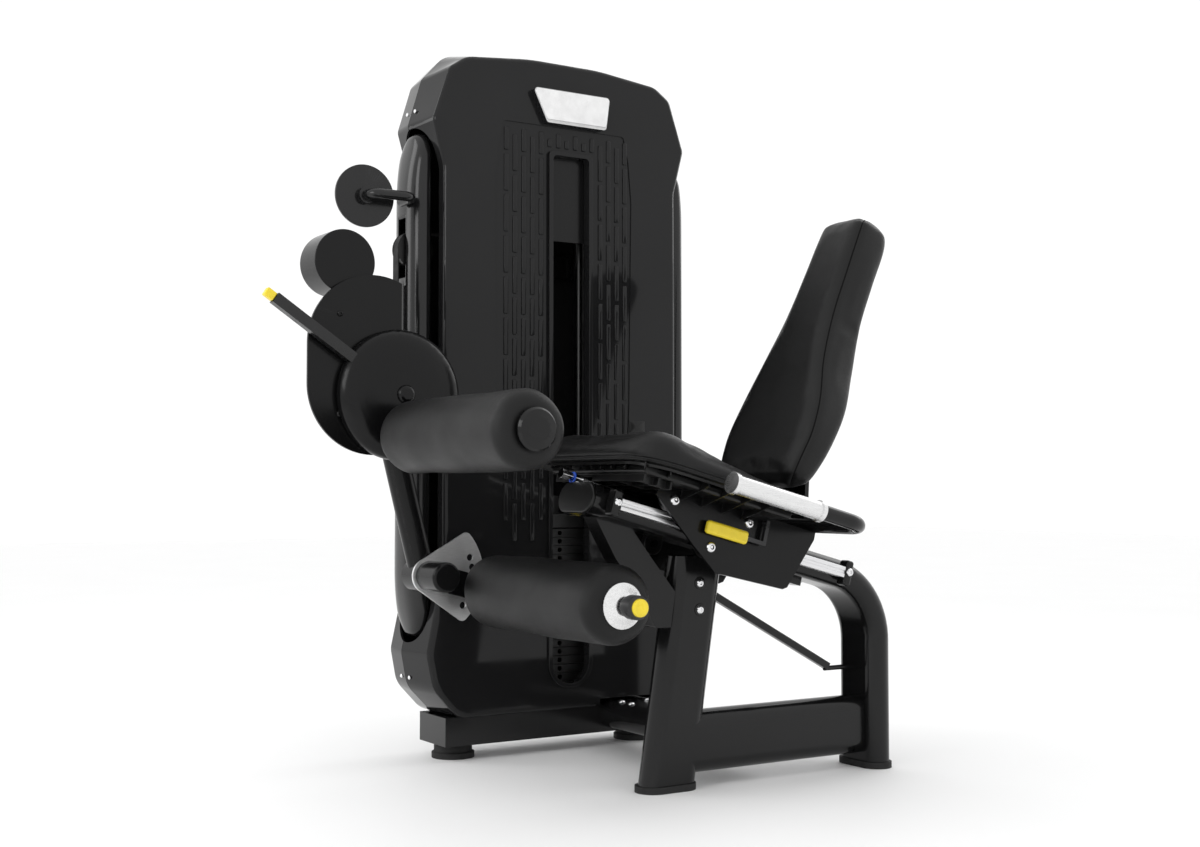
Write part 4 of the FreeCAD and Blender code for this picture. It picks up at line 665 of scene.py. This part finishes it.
def build_column(side, name):
    """Bullet-ended column with one smooth skin; the left one keeps its belt slot."""
    low, high = 0.262, 1.358
    x, y = TOWER_X + side * 0.332, 0.563
    rings = []
    for k in range(65):
        t = (1 - math.cos(math.pi * k / 64)) / 2
        z = low + 0.001 + (high - low - 0.002) * t
        from_end = min(z - low, high - z)
        depth = 0.058 * min(1.0, math.sqrt(max(0.0, 1 - (1 - min(from_end / 0.070, 1.0)) ** 2)) + 0.02)
        lean = max(0.0, 1 - from_end / 0.150) ** 2.2 * 0.022
        width = 0.028 * min(1.0, math.sqrt(max(0.0, 1 - (1 - min(from_end / 0.045, 1.0)) ** 2)) + 0.02)
        width = min(width, 0.028 - lean / 2)
        shift = -side * lean / 2
        ring = []
        for q in range(48):
            a = 2 * math.pi * q / 48
            c, s = math.cos(a), math.sin(a)
            px = math.copysign(abs(c) ** 0.9, c) * width
            py = math.copysign(abs(s) ** 0.8, s) * depth
            ring.append(Vector((x + shift + px, y + py, z)))
        rings.append(ring)
    column = make(f"{name}_column_skin", *skin(rings), "column")
    if side < 0:
        slot_box = box_shape(x - 0.04, x + 0.04, y - 0.018, y + 0.018, 1.038, 1.168)
        cutter = make("belt_slot_cutter", *slot_box, "paint")
        bore = [[v + (Vector((x, y, v.z)) - v) * 0.14 for v in ring] for ring in rings[14:-14]]
        hollow = make("column_bore_cutter", *skin(bore), "trim")
        for tool in (hollow, cutter):
            slot = column.modifiers.new("Cut", "BOOLEAN")
            slot.operation = "DIFFERENCE"
            slot.solver = "EXACT"
            slot.object = tool
        bpy.context.view_layer.update()
        apply_modifiers(column)
        for tool in (hollow, cutter):
            bpy.data.objects.remove(tool)
        for polygon in column.data.polygons:
            polygon.use_smooth = True
        shade = column.modifiers.new("Shade", "WEIGHTED_NORMAL")
        shade.weight = 90
    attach(column, "machine")
    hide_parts(f"side_column_{name}")


def rounded_bar(x, z0, z1, width, y, height, steps=5):
    """A slim upright bar with rounded corners and a softened top, standing out of the face."""
    rings = []
    for inset, out in ((0.0, -0.0006), (0.0, height * 0.55), (0.0005, height * 0.9), (0.0013, height)):
        r = width / 2 - inset
        end = min(r, 0.0022)
        outline = rounded_outline(x - r, x + r, z0 + inset, z1 - inset, end, end, steps)
        rings.append([Vector((px, y - out, pz)) for px, pz in outline])
    return skin(rings)


BAR_PITCH, BAR_WIDTH, BAR_HEIGHT, BAR_LENGTH = 0.0222, 0.0105, 0.0030, 0.082
ROW_PITCH, FIRST_ROW, LAST_ROW_TOP = 0.0905, 0.468, 1.378
WINDOW_LEFT, WINDOW_RIGHT, WINDOW_CLEAR = 0.004, 0.136, 1.346


def build_bars():
    """Staggered rows of raised bars on the sunk panel around the window."""
    face = TOWER_FACE + 0.0025
    parts = []
    for column in range(-7, 8):
        x = TOWER_X + 0.004 + column * BAR_PITCH
        for row in range(11):
            z0 = FIRST_ROW + row * ROW_PITCH + (0.045 if column % 2 else 0.0)
            z1 = min(z0 + BAR_LENGTH, LAST_ROW_TOP)
            if WINDOW_LEFT < x < WINDOW_RIGHT:
                z0 = max(z0, WINDOW_CLEAR)
            if z1 - z0 > 0.012:
                parts.append(rounded_bar(x, z0, z1, BAR_WIDTH, face, BAR_HEIGHT))
    bars = make("front_bars", *joined(parts), "shroud")
    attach(bars, "machine")


def button_head(centre, radius, height, axis, sign):
    """Low domed screw head with a hexagon recess."""
    profile = [(radius, 0.0), (radius, height * 0.25), (radius * 0.93, height * 0.6),
               (radius * 0.72, height * 0.88), (radius * 0.45, height), (radius * 0.42, height * 0.98),
               (radius * 0.40, height * 0.45), (0.0004, height * 0.45)]
    return skin(lathe([(r, sign * h) for r, h in profile], centre, axis, 24), False)


def build_screws():
    heads = []
    for z, half in ((1.406, 0.3315), (0.177, 0.3385)):
        for y in (0.558, 0.597):
            for side in (-1, 1):
                heads.append(button_head((TOWER_X + side * half, y, z), 0.0045, 0.0028, "X", side))
    for x, z in ((-0.09, 0.70), (0.206, 0.70)):
        heads.append(button_head((x, 0.6545, z), 0.006, 0.003, "Y", 1))
        heads.append(button_head((x, 0.6545, z + 0.5), 0.006, 0.003, "Y", 1))
    screws = make("shroud_screws", *joined(heads), "chrome")
    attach(screws, "machine")


def build_label():
    """A small blank dark tag beside the window."""
    rings = []
    for inset, out in ((0.0, -0.0002), (0.0, 0.0008), (0.0006, 0.0012)):
        outline = rounded_outline(0.229 + inset, 0.271 - inset, 0.711 + inset, 0.737 - inset, 0.002, 0.002, 4)
        rings.append([Vector((px, TOWER_FACE - out, pz)) for px, pz in outline])
    label = make("blank_tag", *skin(rings), "trim")
    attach(label, "machine")


# ---------------------------------------------------------------- seat and arm details
def web(corners, thick):
    """A flat rib with four corners, thickened to both sides."""
    return [c - thick for c in corners] + [c + thick for c in corners], BLOCK_FACES


def build_seat_ribs():
    """Moulded tray under the cushion: a rim that follows the pad and a fan of ribs."""
    parts = []
    rim = []
    for inset, w in ((0.014, 0.0718), (0.014, 0.067), (0.0165, 0.067), (0.0165, 0.0718)):
        rim.append([on_rail(u, y, w) for u, y in seat_plan(inset)])
    parts.append(skin(rim + rim[:1], False))
    top = 0.0715
    for angle in range(-65, 66, 13):
        aim_u, aim_y = -math.cos(math.radians(angle)), math.sin(math.radians(angle))
        reach = min(0.142 / abs(aim_u), 0.187 / max(abs(aim_y), 1e-6))
        inner, outer = (-0.05 + aim_u * 0.05, aim_y * 0.05), (-0.05 + aim_u * reach, aim_y * reach)
        deep = 0.0535 if abs(angle) < 40 else 0.047
        thick = (ALONG * aim_y - Vector((0, 1, 0)) * aim_u) * 0.0013
        parts.append(web([on_rail(*inner, top), on_rail(*outer, top), on_rail(*outer, 0.061),
                          on_rail(*inner, deep)], thick))
    for u in (-0.05, 0.0, 0.05, 0.10):
        for side in (-1, 1):
            inner_y, outer_y = side * 0.110, side * 0.189
            parts.append(web([on_rail(u, inner_y, top), on_rail(u, outer_y, top),
                              on_rail(u, outer_y, 0.062), on_rail(u, inner_y, 0.036)], ALONG * 0.0013))
    ribs = make("seat_tray_ribs", *joined(parts), "tray", smooth=False)
    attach(ribs, "carriage")


def build_seal():
    """Blue ring round the front of the buffer shaft."""
    shaft_low, shaft_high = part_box("buffer_shaft")
    centre_y = (shaft_low.y + shaft_high.y) / 2
    centre = on_rail(-0.2065, centre_y, 0.0393)
    rings = []
    for radius, step in ((0.0085, -0.0016), (0.0112, -0.0013), (0.0116, 0.0), (0.0112, 0.0013),
                         (0.0085, 0.0016)):
        rings.append([centre + ALONG * step
                      + (RAISED * math.cos(a) + Vector((0, 1, 0)) * math.sin(a)) * radius
                      for a in (2 * math.pi * k / 40 for k in range(40))])
    seal = make("buffer_seal", *skin(rings, False), "blue")
    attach(seal, "machine")


def build_washers():
    """Dark washers under the bolts of the front leg."""
    profile = ((0.0075, 0.0), (0.0125, 0.0), (0.0125, 0.001), (0.0118, 0.0014), (0.0075, 0.0014))
    washers = []
    for side in (-1, 1):
        for z in (0.399, 0.347):
            rings = lathe([(r, side * h) for r, h in profile], (0.062, side * 0.030, z), "Y", 32)
            washers.append(skin(rings, False))
    discs = make("leg_washers", *joined(washers), "trim")
    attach(discs, "machine")


def build_bolt_caps():
    """Plated heads over the wheel bolts of the two side plates."""
    heads = [button_head(on_rail(u, side * 0.1069, w), 0.0106, 0.0074, "Y", side)
             for side in (-1, 1) for u, w in ((-0.063, 0.033), (0.118, 0.033), (0.040, -0.033))]
    bolts = make("wheel_bolt_caps", *joined(heads), "chrome")
    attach(bolts, "carriage")


build_column(-1, "left")
build_column(1, "right")
build_bars()
build_screws()
build_label()
build_seat_ribs()
build_seal()
build_washers()
build_bolt_caps()


# ---------------------------------------------------------------- floor, light and camera
def build_stage():
    floor_shape = bpy.data.meshes.new("studio_floor")
    floor_shape.from_pydata([(-14, -14, 0), (14, -14, 0), (14, 14, 0), (-14, 14, 0)], [], [(0, 1, 2, 3)])
    floor = bpy.data.objects.new("studio_floor", floor_shape)
    scene.collection.objects.link(floor)
    s = Surface("pale_floor", (0.93, 0.93, 0.93), 0.6, Specular_IOR_Level=0.2)
    s.put("Base Color", s.mottle((0.93, 0.93, 0.93), 0.006, 2))
    floor_shape.materials.append(s.material)
    world = bpy.data.worlds.new("studio")
    world.use_nodes = True
    world.node_tree.nodes["Background"].inputs["Color"].default_value = (1, 1, 1, 1)
    world.node_tree.nodes["Background"].inputs["Strength"].default_value = 1.06
    scene.world = world
    scene.view_settings.view_transform = "Standard"


def soft_light(name, place, aim, width, height, power):
    data = bpy.data.lights.new(name, "AREA")
    data.shape = "RECTANGLE"
    data.size, data.size_y = width, height
    data.energy = power
    light = bpy.data.objects.new(name, data)
    light.location = place
    light.rotation_euler = (Vector(aim) - Vector(place)).to_track_quat("-Z", "Y").to_euler()
    scene.collection.objects.link(light)


build_stage()
soft_light("key", (-3.2, -0.4, 1.9), (0, 0.2, 0.7), 1.4, 1.4, 22)
soft_light("fill", (2.8, 0.6, 2.4), (0, 0.2, 0.6), 1.4, 2.0, 12)
soft_light("rim", (-2.4, 2.2, 2.2), (0, 0.3, 0.8), 1.0, 2.2, 15)

camera_data = bpy.data.cameras.new("camera")
camera_data.lens = 46.116
camera_data.sensor_width = 36
camera = bpy.data.objects.new("camera", camera_data)
camera.location = (-1.7172, -2.4670, 0.5882)
camera.rotation_euler = (math.pi / 2 + 0.040664, 0, -0.56598)
scene.collection.objects.link(camera)
scene.camera = camera
